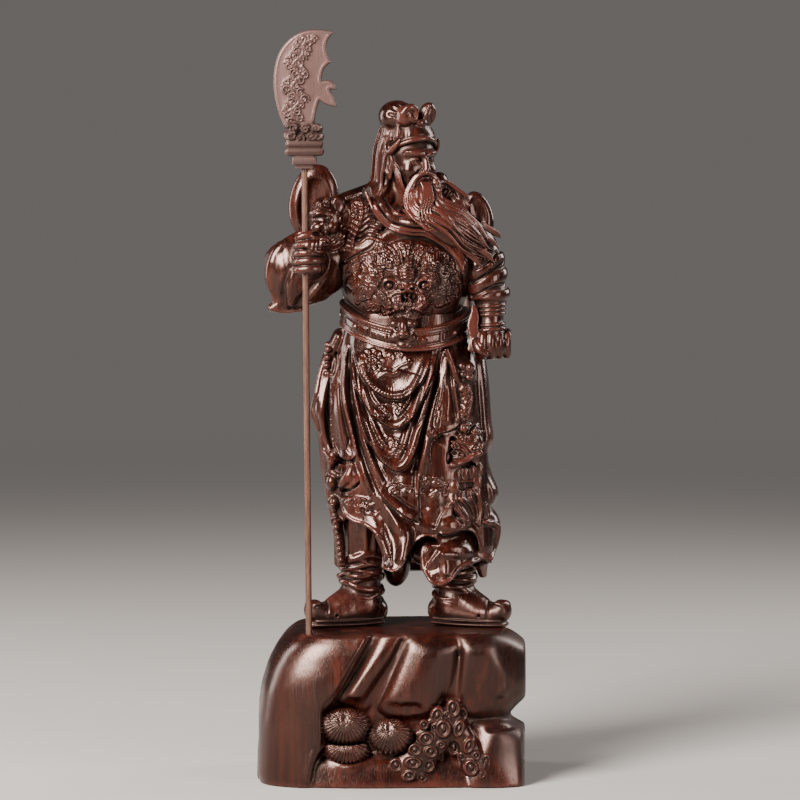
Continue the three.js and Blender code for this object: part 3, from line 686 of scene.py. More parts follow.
# Rock and its pine
rock = {
    "halfWidth": 72,
    "halfDepth": 52,
    "height": 81,
    "corner": 4.2,  # how square the plan is
    "left": [
        [0, 0.98], [0.06, 1], [0.4, 0.995], [0.62, 0.965], [0.78, 0.91], [0.9, 0.84], [0.97, 0.77], [1, 0.7]],
    "right": [
        [0, 0.985], [0.06, 1], [0.22, 0.995], [0.3, 0.97], [0.36, 0.9], [0.4, 0.79], [0.44, 0.77],
        [0.5, 0.83], [0.58, 0.93], [0.7, 0.985], [0.8, 0.97], [0.9, 0.9], [0.96, 0.82], [1, 0.74],
    ],
    "lean": [[0, 1], [0.7, 0.97], [0.9, 0.92], [1, 0.84]],
    "plainEdge": [[0.03, -46], [0.14, -44], [0.3, -38], [0.54, -38], [0.62, -32], [0.77, -24.5], [0.98, -14]],
    "hollow": [[0, 0.04], [0.08, 0.1], [0.2, 0.2], [0.5, 0.22], [0.6, 0.18], [1, 0.13]],
    "step": 0.9,
    # each boulder's struck faces: a point on the face, and the way the face looks
    "boulders": [
        [  # the narrow ridge
            ((-10, 68, -46), (-0.6, -0.66, 0.45)), ((-12, 63, -48.6), (0.1, -0.98, 0.2)),
            ((-9, 63, -48), (0.5, -0.8, -0.33)), ((-25, 46.5, -46), (-0.3, -0.5, -0.8)),
        ],
        [  # the broad leaning boulder
            ((5, 65, -46), (-0.82, -0.45, 0.35)), ((14.5, 61, -49.6), (-0.3, -0.93, 0.2)),
            ((18.5, 56.5, -49.4), (0.42, -0.9, -0.08)), ((10, 38, -45), (0, -0.6, -0.8)),
            ((-3.5, 42.5, -46.5), (-0.55, -0.55, -0.62)), ((29, 49.5, -44), (0.75, -0.5, -0.42)),
            ((26, 78, -42), (0.1, -0.6, 0.8)),
        ],
        [  # the overhanging one
            ((44, 68, -47.6), (0.05, -0.975, -0.2)), ((43, 76.5, -46), (-0.1, -0.7, 0.7)),
            ((37, 61, -45), (-0.86, -0.5, 0.05)), ((41, 54.5, -47), (-0.5, -0.86, -0.1)),
            ((58, 68, -44), (0.72, -0.68, 0.1)), ((45, 37.5, -40), (0, -0.5, -0.87)),
            ((52.5, 49.5, -42.5), (0.3, -0.85, -0.4)),
        ],
        [  # the corner
            ((64, 63, -38), (0.7, -0.7, 0.08)), ((71, 61, -20), (0.99, -0.1, 0.05)),
            ((56, 70.5, -42), (-0.5, -0.86, 0)), ((64, 44, -26), (0.5, -0.3, -0.8)),
            ((64, 76, -28), (0.4, -0.4, 0.82)), ((60.5, 42, -34), (0.1, -0.6, -0.8)),
        ],
        [  # the low block under the overhang
            ((52.5, 32.5, -44), (0, -0.25, 0.97)), ((49.5, 21.5, -46), (-0.5, -0.8, 0.32)),
            ((60.5, 16.5, -47.4), (0.32, -0.94, 0.08)), ((51.5, 6, -49.6), (-0.05, -1, -0.03)),
            ((72, 12, -20), (1, -0.05, 0)), ((38, 12, -42), (-0.95, -0.3, 0)),
        ],
        [  # the ledge that the pine stands on
            ((-21.5, 8, -48.8), (-0.1, -0.95, 0.22)), ((-21.5, 14, -45), (0.02, -0.5, 0.87)),
            ((-40, 16.5, -47), (-0.7, -0.6, 0.35)), ((15.5, 3.5, -48), (0.1, -0.95, 0.2)),
            ((42, 3.5, -44), (0.9, -0.4, 0.1)),
        ],
    ],
}


def rockBody(block):
    x, y, z = block.x, block.y, block.z
    share = z / rock["height"]
    side = np.where(x < 0, table(rock["left"], share, 0.03), table(rock["right"], share, 0.02))
    a = rock["halfWidth"] * side
    edge = table(rock["plainEdge"], share, 0.03)
    hollow = ease(x, edge, edge + 6) * table(rock["hollow"], share, 0.03)
    b = rock["halfDepth"] * table(rock["lean"], share, 0.04) * np.where(y < 0, 1 - hollow, 1)
    n = rock["corner"]
    px, py = np.abs(x / a) ** n, np.abs(y / b) ** n
    whole = (px + py) ** (1 / n)
    reach = (a * px + b * py) / (px + py + 1e-9)
    # slow waves left by the gouge on the plain sides
    wave = 0.35 * np.sin(x / 7.1 + 0.6 * np.sin(z / 17)) * ease(-y, 0, 40) + 0.5 * np.sin(y / 7.3 + z / 31)
    back = 0.9 * np.sin(x / 9.4 + np.sin(z / 21)) * ease(y, 20, 45)
    block.put((whole - 1) * reach - wave - back)
    block.take(rock["height"] - z, 2.5)


def boulder(block, faces, whole, soft=3.2, blend=0.8):
    # struck faces, softened where they meet and kept near the rock's outline
    body = block.y + 6
    for at, way in faces:
        x, z, y = at
        way = np.array(way) / np.linalg.norm(way)
        face = way[0] * (block.x - x) + way[1] * (block.y - y) + way[2] * (block.z - z)
        body = -blendMin(-body, -face, soft)
    block.put(-blendMin(-body, -whole, 6), blend)


def carveRock():
    block = Block((-74, -54, -2), (74, 54, 84), rock["step"])
    rockBody(block)
    whole = block.field - 8.5
    for faces in rock["boulders"]:
        boulder(block, faces, whole)
    # the lip that closes the plain block towards them
    block.limb(
        [
            (-14.5, -39, 81, 3.5, 4), (-21, -43.5, 67.5, 3.5, 4), (-30.5, -46, 50.5, 3.5, 3.5),
            (-36, -46, 43, 3, 3)],
        2.5, edge=1.6)
    # worn gullies between them
    gullies = [
        [(6, -46, 79, 1.2, 6), (-1.5, -50, 64, 1.8, 8), (-13, -52, 45, 3.2, 9)],
        [(36, -44, 71.5, 1.2, 4), (35, -48, 61, 1.8, 6), (34, -49, 47, 2.2, 6)],
        [(-10.5, -45, 78, 0.8, 4), (-20.5, -50, 59, 1.4, 6), (-30, -53, 42, 2.4, 7)],
    ]
    for path in gullies:
        block.limb(path, 2.6, cut=True)
    # the undercut on the right, and the niche behind the pine
    block.limb(
        [(37.5, -47, 34.5, 4, 5), (50, -46, 34.5, 4, 5.5), (62, -40, 36.5, 4, 7), (74.5, -26, 38.5, 3, 6)],
        1.6, cut=True)
    block.limb(
        [
            (-30, -56, 35.5, 6, 16), (-21.5, -55, 32.5, 8, 18), (-3, -54, 32.5, 8, 15),
            (18, -54, 32.5, 7, 14), (35.5, -54, 35.5, 6, 12)],
        2.5, cut=True)
    block.look()
    for path, width, rise in (
        ([(-35.5, 24), (-41, 16.5), (-44, 6)], 1.6, 1.2),
        ([(-35.5, 20.5), (-29, 13), (-20.5, 10.5), (-10, 15), (1.5, 17.5)], 1.3, 0.9),
    ):
        block.lay([(*p, width) for p in path], width, rise, 3, width * 0.9)
    block.take(block.z)
    block.take(rock["height"] - block.z, 2.5)
    block.take(rock["halfWidth"] - 0.1 - np.abs(block.x), 1.5)
    block.take(rock["halfDepth"] - 0.1 - np.abs(block.y), 1.5)
    footX, footY, _ = rodAt["foot"]
    hole = np.hypot(block.x - footX, block.y - footY) - rodAt["holeRadius"]
    block.take(np.maximum(hole, rodAt["holeFloor"] - block.z))
    carve("rock", block, 60000, origin=rockOrigin, material=rockWood)


pine = {
    "step": 0.45,
    # needle tufts: middle, half sizes, where the needles meet, how many
    "tufts": [
        ((-23.5, 19.5, -44.4), (12.8, 6.5, 7.2), (-23.5, 25.5), 34),
        ((-24, 32.5, -45.6), (14, 6.2, 9.8), (-24.5, 37), 36),
        ((0, 27, -45.4), (12.2, 6.4, 9.6), (-1, 32.5), 32),
    ],
    "trunk": [
        (34, -41, 41, 5.5, 6.5), (29.5, -41.5, 33.5, 8, 7), (24, -41.5, 25.5, 9.5, 7.5),
        (15.5, -41.5, 18, 10, 8), (10.5, -41.5, 10.5, 11, 8.4)],
    "branch": [
        (32.5, -41, 35.5, 7, 6.5), (37.5, -41.5, 27, 7, 7), (42.5, -41.5, 18.5, 7.5, 7.5),
        (44.5, -41.5, 11, 9, 7.4)],
    # cups of bark: x, z, half width, half height
    "scales": [
        (32.9, 42.4, 3.4, 4.8), (24.4, 38.7, 3.3, 4.5), (38.2, 39.2, 2, 3.4), (27.6, 31.8, 4, 4.8),
        (36, 31.8, 2.6, 4.6), (18.6, 26.5, 4, 3.6), (12.7, 20.7, 3.6, 3.2), (21.2, 19.6, 3.4, 3),
        (5.8, 19.1, 3, 2.4), (33.4, 21.2, 3.4, 4.2), (41.3, 22.8, 2.6, 4.2), (2.7, 12.2, 3.6, 3.6),
        (11.7, 13.8, 4.4, 3), (20.1, 11.7, 2.8, 3.4), (9.5, 6.9, 3.6, 2.6), (50.4, 13.8, 2, 4.2),
        (33.4, 12.7, 3.6, 4.6), (42.4, 11.1, 3.6, 4.2), (17.5, 33.9, 2.4, 2.4), (47.7, 8, 2.6, 2.6),
        (26.5, 23.3, 2.2, 2), (38.7, 3.7, 3, 2), (16.4, 5.3, 2.8, 2), (29.7, 39.2, 1.6, 2),
        (22.8, 32.3, 1.6, 2), (-1.1, 16.4, 2, 2.4), (37.1, 16.4, 1.8, 2.2), (26.5, 15.9, 1.4, 2),
        (45.1, 17.5, 2, 2.4),
    ],
}


def tuft(block, middle, radii, hub, needles):
    # a flattened dome of needles that spread from one point
    at, radii = np.array([middle[0], middle[2], middle[1]]), np.array(radii)
    cuts, (x, y, z) = block.near(at - radii - 4, at + radii + 4)
    shape = eggDistance((x - at[0], y - at[1], z - at[2]), radii)
    dx, dz = x - hub[0], z - hub[1]
    away = np.hypot(dx, dz)
    groove = np.abs(np.cos(np.arctan2(dz, dx) * needles / 2 + 0.1 * away))
    depth = 0.95 * ease(away, 1, 3.2)
    rim = 0.5 * np.cos(away * 1.1) * ease(away, 3, 6)
    dish = np.exp(-((away / 2) ** 2))
    block.take(shape - 1.3, 0.6, cuts)
    block.put(shape + depth * (1 - groove) - 0.25 + dish - 0.25 * rim, 0.2, cuts)


def carvePine():
    block = Block((-40, -52.5, -0.5), (57, -26, 48), pine["step"])
    block.limb(pine["branch"], 1.2)
    block.limb(pine["trunk"], 1.2)
    # roots and stems that tie the tufts to the trunk
    for path in (
        [(-10, -38, 29, 3, 3), (-16.5, -40, 24, 3.4, 3), (-20.5, -41, 12, 4, 3)],
        [(3.5, -40, 21.5, 3, 3), (6, -42, 14.5, 4, 4), (5, -42, 6, 5, 4)],
        [
            (8, -45, 29, 1.2, 1.2), (14.5, -46.5, 29, 1.4, 1.4), (20.5, -47, 35.5, 1.6, 1.6),
            (26, -46, 42, 1.4, 1.4)],
    ):
        block.limb(path, 0.8)
    # cone-like scales of bark, each a cup with a rolled rim and a kernel
    block.look()
    for i, (x, z, a, b) in enumerate(pine["scales"]):
        y = float(np.nanmean(block.frontAt([(x, z), (x + 1, z), (x, z + 1), (x - 1, z), (x, z - 1)])))
        y = max(y, -50)
        axes = turned(0, 22 * sin(i * 2.1), 0)
        block.egg((x, y + 0.4, z), (a * 1.18, 3.4, b * 1.16), 0.12, axes)
        block.egg((x, y - 3.1, z), (a * 0.82, 3.1, b * 0.84), 0.25, axes, cut=True)
        block.egg((x, y + 0.1, z), (a * 0.4, 1.9, b * 0.52), 0.2, axes)
    for middle, radii, hub, needles in pine["tufts"]:
        tuft(block, middle, radii, hub, needles)
    block.take(block.z)
    block.take(51.8 + block.y, 0.6)
    carve("pine", block, 95000, origin=rockOrigin)


# Boots and legs
boots = {
    "step": 0.5,
    "left": (-25, 0, -1),
    "right": (26, 0, 1),
    # forward, height, half width, half height
    "foot": [
        (-8, 7.5, 8.4, 7.5), (-1, 8.5, 9.8, 9), (7, 8.6, 10.2, 9.2), (15, 7.2, 9.6, 7.6),
        (22, 6.6, 8.4, 6.4), (27, 8, 6.8, 5.8)],
}


def carveBoots():
    block = Block((-59, -19, -0.6), (60, 20, 74), boots["step"])
    for x, y, out in (boots["left"], boots["right"]):

        def along(forward, z, *sizes):
            return (x + out * forward * 0.9, y - forward * 0.42, z, *sizes)

        wide = (0.42 * out, 0.9, 0)
        block.limb([along(f, z, w, t) for f, z, w, t in boots["foot"]], 1.5, wide=wide)
        block.limb([along(-1, 12, 11.2, 9.5), along(5, 15, 9.5, 7), along(14, 12, 7.5, 4.5)], 3.5, wide=wide)
        leg = [
            (x, y, 10, 10.6, 10.4), (x - out * 0.3, y + 1, 24, 10.6, 10.6),
            (x - out * 0.8, y + 1, 38, 12, 12), (x - out, y + 1, 54, 13.5, 14), (x - out, y + 1, 72, 14, 14)]
        block.limb(leg, 2)
        # the wrapped ankle: slack folds that cross at their own slants
        for i in range(9):
            z = 13.5 + i * 2.7
            lean, swing = 2.6 * sin(i * 1.9 + out), i * 2.3
            radius = 10.7 + 0.12 * i + 0.35 * sin(i * 2.7)
            ring = []
            for k in range(19):
                angle = 2 * pi * k / 18
                slack = lean * sin(angle + 0.6 * i) + 0.9 * sin(2 * angle + swing)
                fold = radius + 0.5 * sin(3 * angle + swing)
                size = 1.15 + 0.55 * sin(2 * angle + 1.7 * i)
                ring.append((
                    x - out * 0.4 + fold * cos(angle), y + 0.6 + fold * sin(angle), z + slack, size, size))
            block.limb(ring, 0.6, wide=(0, 0, 1), perSpan=2)
        # long folds of the trouser leg above the wraps
        for i in range(11):
            angle = 2 * pi * i / 11 + 0.3 * sin(i)
            c, s = cos(angle), sin(angle)
            path = [
                (x - out * 0.5 + 11.4 * c, y + 1 + 11.4 * s, 36, 1.6),
                (x - out + 12.8 * c, y + 1 + 12.8 * s, 46, 1.4), (x - out + 13.8 * c, y + 1 + 13.8 * s, 66, 1)
            ]
            block.limb(path, 1.6)
        # the gathered cuff that spills over the top wrap
        cuff = []
        for k in range(19):
            angle = 2 * pi * k / 18
            cuff.append((
                x - out * 0.5 + 12 * cos(angle), y + 1 + 12 * sin(angle), 37 + 1.6 * sin(3 * angle + out),
                2.2, 2.2))
        block.limb(cuff, 1.2, wide=(0, 0, 1), perSpan=2)
        # slanting creases over the instep
        for i in range(5):
            f, lean = 3.5 + 3.4 * i, 1.6 - 0.5 * i
            path = []
            for reach, drop in ((-8.4, 7.5), (-5, 2.2), (0, 0), (5, 2.2), (8.4, 7.5)):
                px, py, pz = along(f + lean * reach * 0.25, 18.3 - 1.15 * i - drop)
                path.append((px + 0.42 * out * reach, py + 0.9 * reach, pz, 0.75))
            block.limb(path, 0.9, cut=True)
        # the upper's binding, the sole and the toe's rolled cap
        block.limb(
            [along(f, 3.4, w, 0.9) for f, w in ((-10, 7.8), (3, 10.8), (15, 10.2), (24, 8), (28.5, 6))], 0.5,
            wide=wide)
        block.limb(
            [along(f, 1.3, w, 1.6) for f, w in ((-10.5, 8.2), (3, 11.2), (15, 10.6), (24, 8.4), (29, 6.2))],
            0.3, wide=wide)
        block.limb(
            [along(22, 4.6, 7.4, 4.4), along(27.5, 7.5, 6.8, 4.8), along(29, 11.2, 5.6, 3.4)], 0.6, wide=wide)
        block.limb(
            [along(26.4, 13, 6.4, 1.6), along(29.6, 12.2, 6.2, 1.8), along(30.2, 9.4, 5.6, 1.5)], 0.4,
            wide=wide)
        for side in (-1, 1):
            seam = []
            for f, lift, width, reach in (
                (20.4, 13.4, 0.5, 1.5), (22.6, 9.5, 0.55, 7.4), (23.4, 4.2, 0.5, 8.6)
            ):
                px, py, pz = along(f, lift)
                seam.append((px + 0.42 * out * side * reach, py + 0.9 * side * reach, pz, width))
            block.limb(seam, 0.6, cut=True)
    block.take(block.z + 0.3)
    carve("boots", block, 60000)


# Robe
robe = {
    "step": 0.5,
    "half": (43, 32),
    "hemReach": 44,
    # half widths over the height, towards the near and the far hand, and the depth
    "near": [
        [20, 34], [37, 35], [46, 36.5], [56, 38.5], [69, 40.5], [80, 42], [101, 43], [115, 45.5], [122, 45.5],
        [136, 43], [151, 37.5], [166, 33]],
    "far": [
        [20, 41], [33, 42], [40, 44], [53, 45], [61, 43.5], [70, 45.5], [80, 44], [95, 43.5], [111, 42],
        [136, 40], [152, 36], [166, 32]],
    "deep": [[20, 33], [60, 32], [100, 32], [120, 31], [140, 29], [152, 27], [166, 25.5]],
    "hem": [
        (-46, 56), (-40, 56), (-36.5, 60), (-35, 67), (-33, 62), (-30, 59), (-25, 57.8), (-20.7, 56.7),
        (-16.4, 52.5), (-13.5, 46), (-12.4, 38), (-10, 33.4), (-6.4, 32.6), (-2.6, 35), (0.5, 39), (4, 38),
        (7, 33), (9, 30.7), (13.2, 26.5), (17.5, 25.4), (22.8, 28.6), (27.6, 33.4), (33.4, 36), (38.7, 37),
        (43, 33.4), (46.6, 37),
    ],
    # how far the hem's flutes stand out or in
    "flare": [
        (-40, 0), (-30, 0.5), (-24, -1), (-15, 2.5), (-8, 5.5), (-2, 4), (4, -3), (9, 1), (17, 5.5),
        (24, 3), (33, 3.5), (40, 3), (46, 2)],
    "thickness": 3.2,
    "backAt": 26,
}


def hemHeight(angle):
    # the hem's height over the soles, round the robe from the front
    x = robe["hemReach"] * np.sin(angle)
    front = np.interp(x, *zip(*robe["hem"]))
    back = 27 + 2.5 * np.cos(9 * angle)
    return mix(back, front, ease(np.cos(angle), -0.15, 0.2))


def beside(path, gap):
    # the same line, moved sideways to its left hand
    p = spline(path, 4)
    run = np.gradient(p, axis=0)
    run /= np.linalg.norm(run, axis=1)[:, None]
    return p + gap * np.stack([-run[:, 1], run[:, 0]], 1)


def drapery():
    # the carved folds of the robe's front
    cloth = Drawing((-56, 18), (56, 172))
    swags = [
        [
            (-29, 151), (-26.5, 142), (-23, 134.5), (-17.5, 128.5), (-11.5, 125), (-6, 124), (-0.5, 125.5),
            (5.5, 130.5), (10, 138), (14, 151)],
        [
            (-30.5, 151), (-29, 139), (-26.5, 129), (-22.5, 121), (-17, 114.5), (-11, 110), (-6, 108.5),
            (-0.5, 111), (5, 117.5), (10, 128.5), (14.5, 140), (16.5, 151)],
        [
            (-30.5, 148.5), (-29.5, 132.5), (-26.5, 117.5), (-22.5, 105), (-17, 95.5), (-11, 89), (-5, 86),
            (0.5, 89), (5, 98), (9, 112.5), (13, 127), (17.5, 148.5)],
        [
            (-29, 122), (-26.5, 108.5), (-23, 95.5), (-18.5, 83.5), (-14, 74), (-7.5, 67), (-0.5, 62),
            (7.5, 58)],
    ]
    creases = [(2.2, 1.7, 1.1), (4.9, 1.2, -1.5), (6.8, 1.3, 0.9), (8.6, 1, -0.8)]
    for path, rise, kept in zip(swags, (2.4, 2.8, 3, 2.2), (1, 3, 4, 2)):
        cloth.lip(path, rise, 4.4, 3.2, 3.4, 0.8, ends=0.1)
        for gap, width, height in creases[:kept]:
            crease = beside(path, gap)
            middle = len(crease) // 2
            # only the roll runs right round, the creases die out in the middle
            for part in [crease] if gap < 3 else [crease[: middle - 2], crease[middle + 3:][::-1]]:
                cloth.line(part, width, height, smooth=0, ends=0.12 if gap < 3 else 0.3)
    # the pleats that spring from under the belt at either hip
    left = [
        [(-31.5, 155), (-33, 144), (-34, 132.5), (-33, 121), (-30, 108.5), (-27.5, 96.5), (-26, 85)],
        [(-29.5, 151), (-32, 135), (-31.5, 122), (-29, 108.5), (-26, 95.5), (-21.5, 80.5), (-16, 69)],
        [(-29, 147.5), (-28.5, 132.5), (-26, 116.5), (-21.5, 100.5), (-16.5, 87), (-12, 78.5)],
    ]
    for path in left:
        cloth.line(path, 1.5, 1.9, ends=0.15)
        cloth.line([(x + 1.9, z) for x, z in path], 1.1, -1.4, ends=0.15)
    cloth.lip(
        [(-40.5, 136.5), (-40.5, 122), (-40.5, 106), (-39, 97), (-35.5, 92), (-30, 91), (-26.5, 94.5)], 1.7,
        4.5, 1.8, 3, 0.4)
    cloth.line([(-37.5, 139), (-37, 122), (-35.5, 106), (-33.5, 95.5)], 3.2, 1.2, ends=0.2)
    right = [
        [(21, 153.5), (18, 143), (16, 130), (12, 115.5), (9, 100.5), (6.5, 85), (6, 69)],
        [(21.5, 153.5), (19, 140.5), (16, 124.5), (12, 108.5), (9, 93), (7, 79.5)],
        [(22.5, 152.5), (21, 140.5), (18.5, 127), (16.5, 115.5), (15.5, 107)],
        [(23, 152.5), (24.5, 142), (25.5, 130), (27, 119), (28, 110)],
    ]
    for path in right:
        cloth.line(path, 1.5, 1.9, ends=0.15)
        cloth.line([(x - 1.9, z) for x, z in path], 1.1, -1.4, ends=0.15)
    cloth.line([(23, 135), (22.5, 124.5), (21.5, 115.5), (21, 109)], 3, 1.5, ends=0.2)
    cloth.lip([(14, 102), (17.5, 105.5), (23, 107), (27.5, 109.5), (29, 115.5)], 1.6, 4, 2.4, 4, 0.4)
    # the open fold under the right hip, with the lining's edge showing
    cloth.lip([(12.5, 89), (11.5, 95.5), (13, 102), (17.5, 105.5)], 1.2, 3, 1.2, 2.5, 0.2)
    # the left skirt turns out below the hip and runs down to the right
    cloth.disc((-30.5, 79.5), (5.5, 7), 2.2, 0.6)
    cloth.lip(
        [
            (-35, 73), (-35, 69), (-33.5, 62.5), (-28.5, 58.5), (-23, 57), (-18, 54), (-14, 49), (-11, 43),
            (-11.5, 37)],
        2.6, 5, 0.4, 2, 0.9)
    cloth.line([(-24, 93), (-19.5, 79.5), (-12, 69), (-6, 59.5), (-1.5, 50.5)], 2.6, 1.7, ends=0.2)
    cloth.line([(-20.5, 69), (-15.5, 62.5), (-10, 54), (-7, 45), (-6, 36)], 3.4, -1.8, ends=0.2)
    cloth.line([(-18, 53), (-14.5, 47.5), (-10.5, 41.5), (-9, 34)], 1.8, 1.7, ends=0.15)
    cloth.line([(-1, 58.5), (0.5, 50.5), (-1.5, 42.5), (-6, 36)], 3.2, 1.6, ends=0.2)
    cloth.line([(-5, 66), (2.5, 59.5), (10, 56), (17.5, 54)], 2.2, 1.2, ends=0.2)
    cloth.lip(
        [
            (-16, 37), (-11.5, 33.5), (-6, 33), (-1.5, 37.5), (1.5, 43.5), (6, 49), (10.5, 51),
            (15.5, 49.5), (17.5, 45.5)],
        2.4, 5, 7.5, 4.5, 0.8)
    cloth.lip([(17.5, 45.5), (16.5, 43), (13, 38), (9.5, 32.5)], 2.2, 4, 2.8, 3, 0.8, ends=0.35)
    # the right hand cloth, its dark slot and the broad turned hem
    cloth.lip([(24, 81.5), (24.5, 73), (21, 66), (17.5, 61), (14.5, 53)], 1.2, 4, 1.6, 3, 0.3)
    cloth.lip([(6.5, 85), (6, 71.5), (6.5, 58.5)][::-1], 0.9, 3, 1.4, 3, 0.3)
    cloth.disc((15.5, 66), (6, 11), 1.4, 0.7)
    cloth.disc((25.5, 57), (8, 4.5), 2.6, 0.7)
    cloth.lip([(15.5, 52.5), (21.5, 52), (28.5, 53.5), (35, 52), (38, 46.5), (38.5, 40)], 1.4, 4, 6, 2.6, 0.7)
    cloth.disc((27, 43), (11, 4.5), 2.8, 0.6)
    cloth.line([(18, 43), (21, 37), (20.5, 29.5)], 3, 1.8, ends=0.1)
    cloth.lip(
        [(9, 31.5), (12.5, 27), (18, 25.5), (23.5, 28.5), (27.5, 33.5), (33.5, 36), (38.5, 36.5)], 2.2, 4, 0,
        1, 0.8)
    # narrow carved slits that keep the pleats apart
    cloth.lines(
        [
            [(-30, 148.5), (-30, 132.5), (-28.5, 116.5), (-25.5, 103.5)],
            [(-27.5, 140.5), (-25, 126), (-20, 115.5), (-14.5, 110)],
            [(-28, 126), (-24.5, 108.5), (-19, 96.5), (-12.5, 88.5)],
            [(16, 136.5), (12, 123), (7.5, 112.5), (2, 105.5)],
            [(18, 132.5), (15, 119), (11, 105), (6.5, 91), (1, 82.5)],
            [(19.5, 147.5), (17.5, 136.5), (14.5, 122)],
            [(20.5, 138), (18, 122), (14.5, 111.5)],
            [(-35.5, 136.5), (-35, 122), (-32.5, 108.5), (-29.5, 98)],
        ],
        0.7, -1, ends=0.15,
    )
    return cloth


def embroidery():
    # patterns raised on the cloth: scroll clouds, a flower disc, a fan of rays
    sheet = Drawing((-56, 18), (56, 172), 0.2)
    for at, size, hand, height, width in (
        ((-8, 118), 8.5, 1, 0.75, 0.55), ((-12, 115), 4.5, -1, 0.6, 0.5), ((-10, 100.5), 6.5, 1, 0.7, 0.5),
        ((-2.5, 96.5), 6.5, -1, 0.7, 0.5), ((-3.5, 75.5), 7.5, 1, 0.8, 0.55),
        ((12.5, 79.5), 6.5, 1, 0.8, 0.55),
        ((18, 73.5), 5.5, -1, 0.7, 0.5), ((-28, 68), 6.5, 1, 0.8, 0.55), ((-23.5, 64), 5.5, 1, 0.7, 0.5),
    ):
        sheet.cloud(at, size, hand, height, width)
    flower = (-19, 144.5)
    for angle in range(0, 360, 40):
        x, z = flower[0] + 4.4 * cos(radians(angle)), flower[1] + 3.6 * sin(radians(angle))
        sheet.ring((x, z), (2.1, 1.7), 0.5, 0.8, angle)
    sheet.spiral(flower, 3, 1.8, 0.5, 0.8, 40, 1)
    sheet.disc(flower, (7, 6), 0.5, 0.2)
    fan = (-8, 140)
    for i in range(23):
        angle = radians(-162 + i * 144 / 22)
        near = (fan[0] + 3.2 * cos(angle), fan[1] + 2.4 * sin(angle))
        far = (fan[0] + 15.5 * cos(angle), fan[1] + 13.5 * sin(angle))
        sheet.line([near, far], 0.62, 0.8, smooth=0)
    curls = [(-11, 148), (-7.5, 146), (-3.5, 147.5), (0, 145)]
    for i, at in enumerate(curls):
        sheet.spiral(at, 1.9, 1.3, 0.45, 0.7, i * 80, 1 if i % 2 else -1)
    sheet.line([(-16, 138.5), (-12, 140.5), (-7.5, 139.5), (-2.5, 142), (2, 143.5)], 0.7, 0.9)
    sheet.line([(-14.5, 136), (-11, 138), (-7, 137.5), (-2.5, 139.5), (1, 141)], 0.5, 0.7)
    return sheet


def sidePatterns():
    # bands and scrolls down the side panels, over y and z
    sheet = Drawing((-40, 18), (36, 172), 0.25)
    for y in (-9.5, 9.5):
        sheet.line([(y, 150), (y * 1.2, 118), (y * 1.15, 90), (y, 62)], 0.8, 0.7)
    for i in range(17):
        z = 148 - i * 5.2
        sheet.ring((-6.2, z), (2.1, 2.3), 0.55, 0.8, 20 * (-1) ** i)
        sheet.disc((-6.2, z), (0.9, 0.9), 0.7, 0.5)
    for i in range(5):
        sheet.cloud((2.5, 142 - i * 17), 5.5, 1 if i % 2 else -1, 0.7, 0.55)
    return sheet


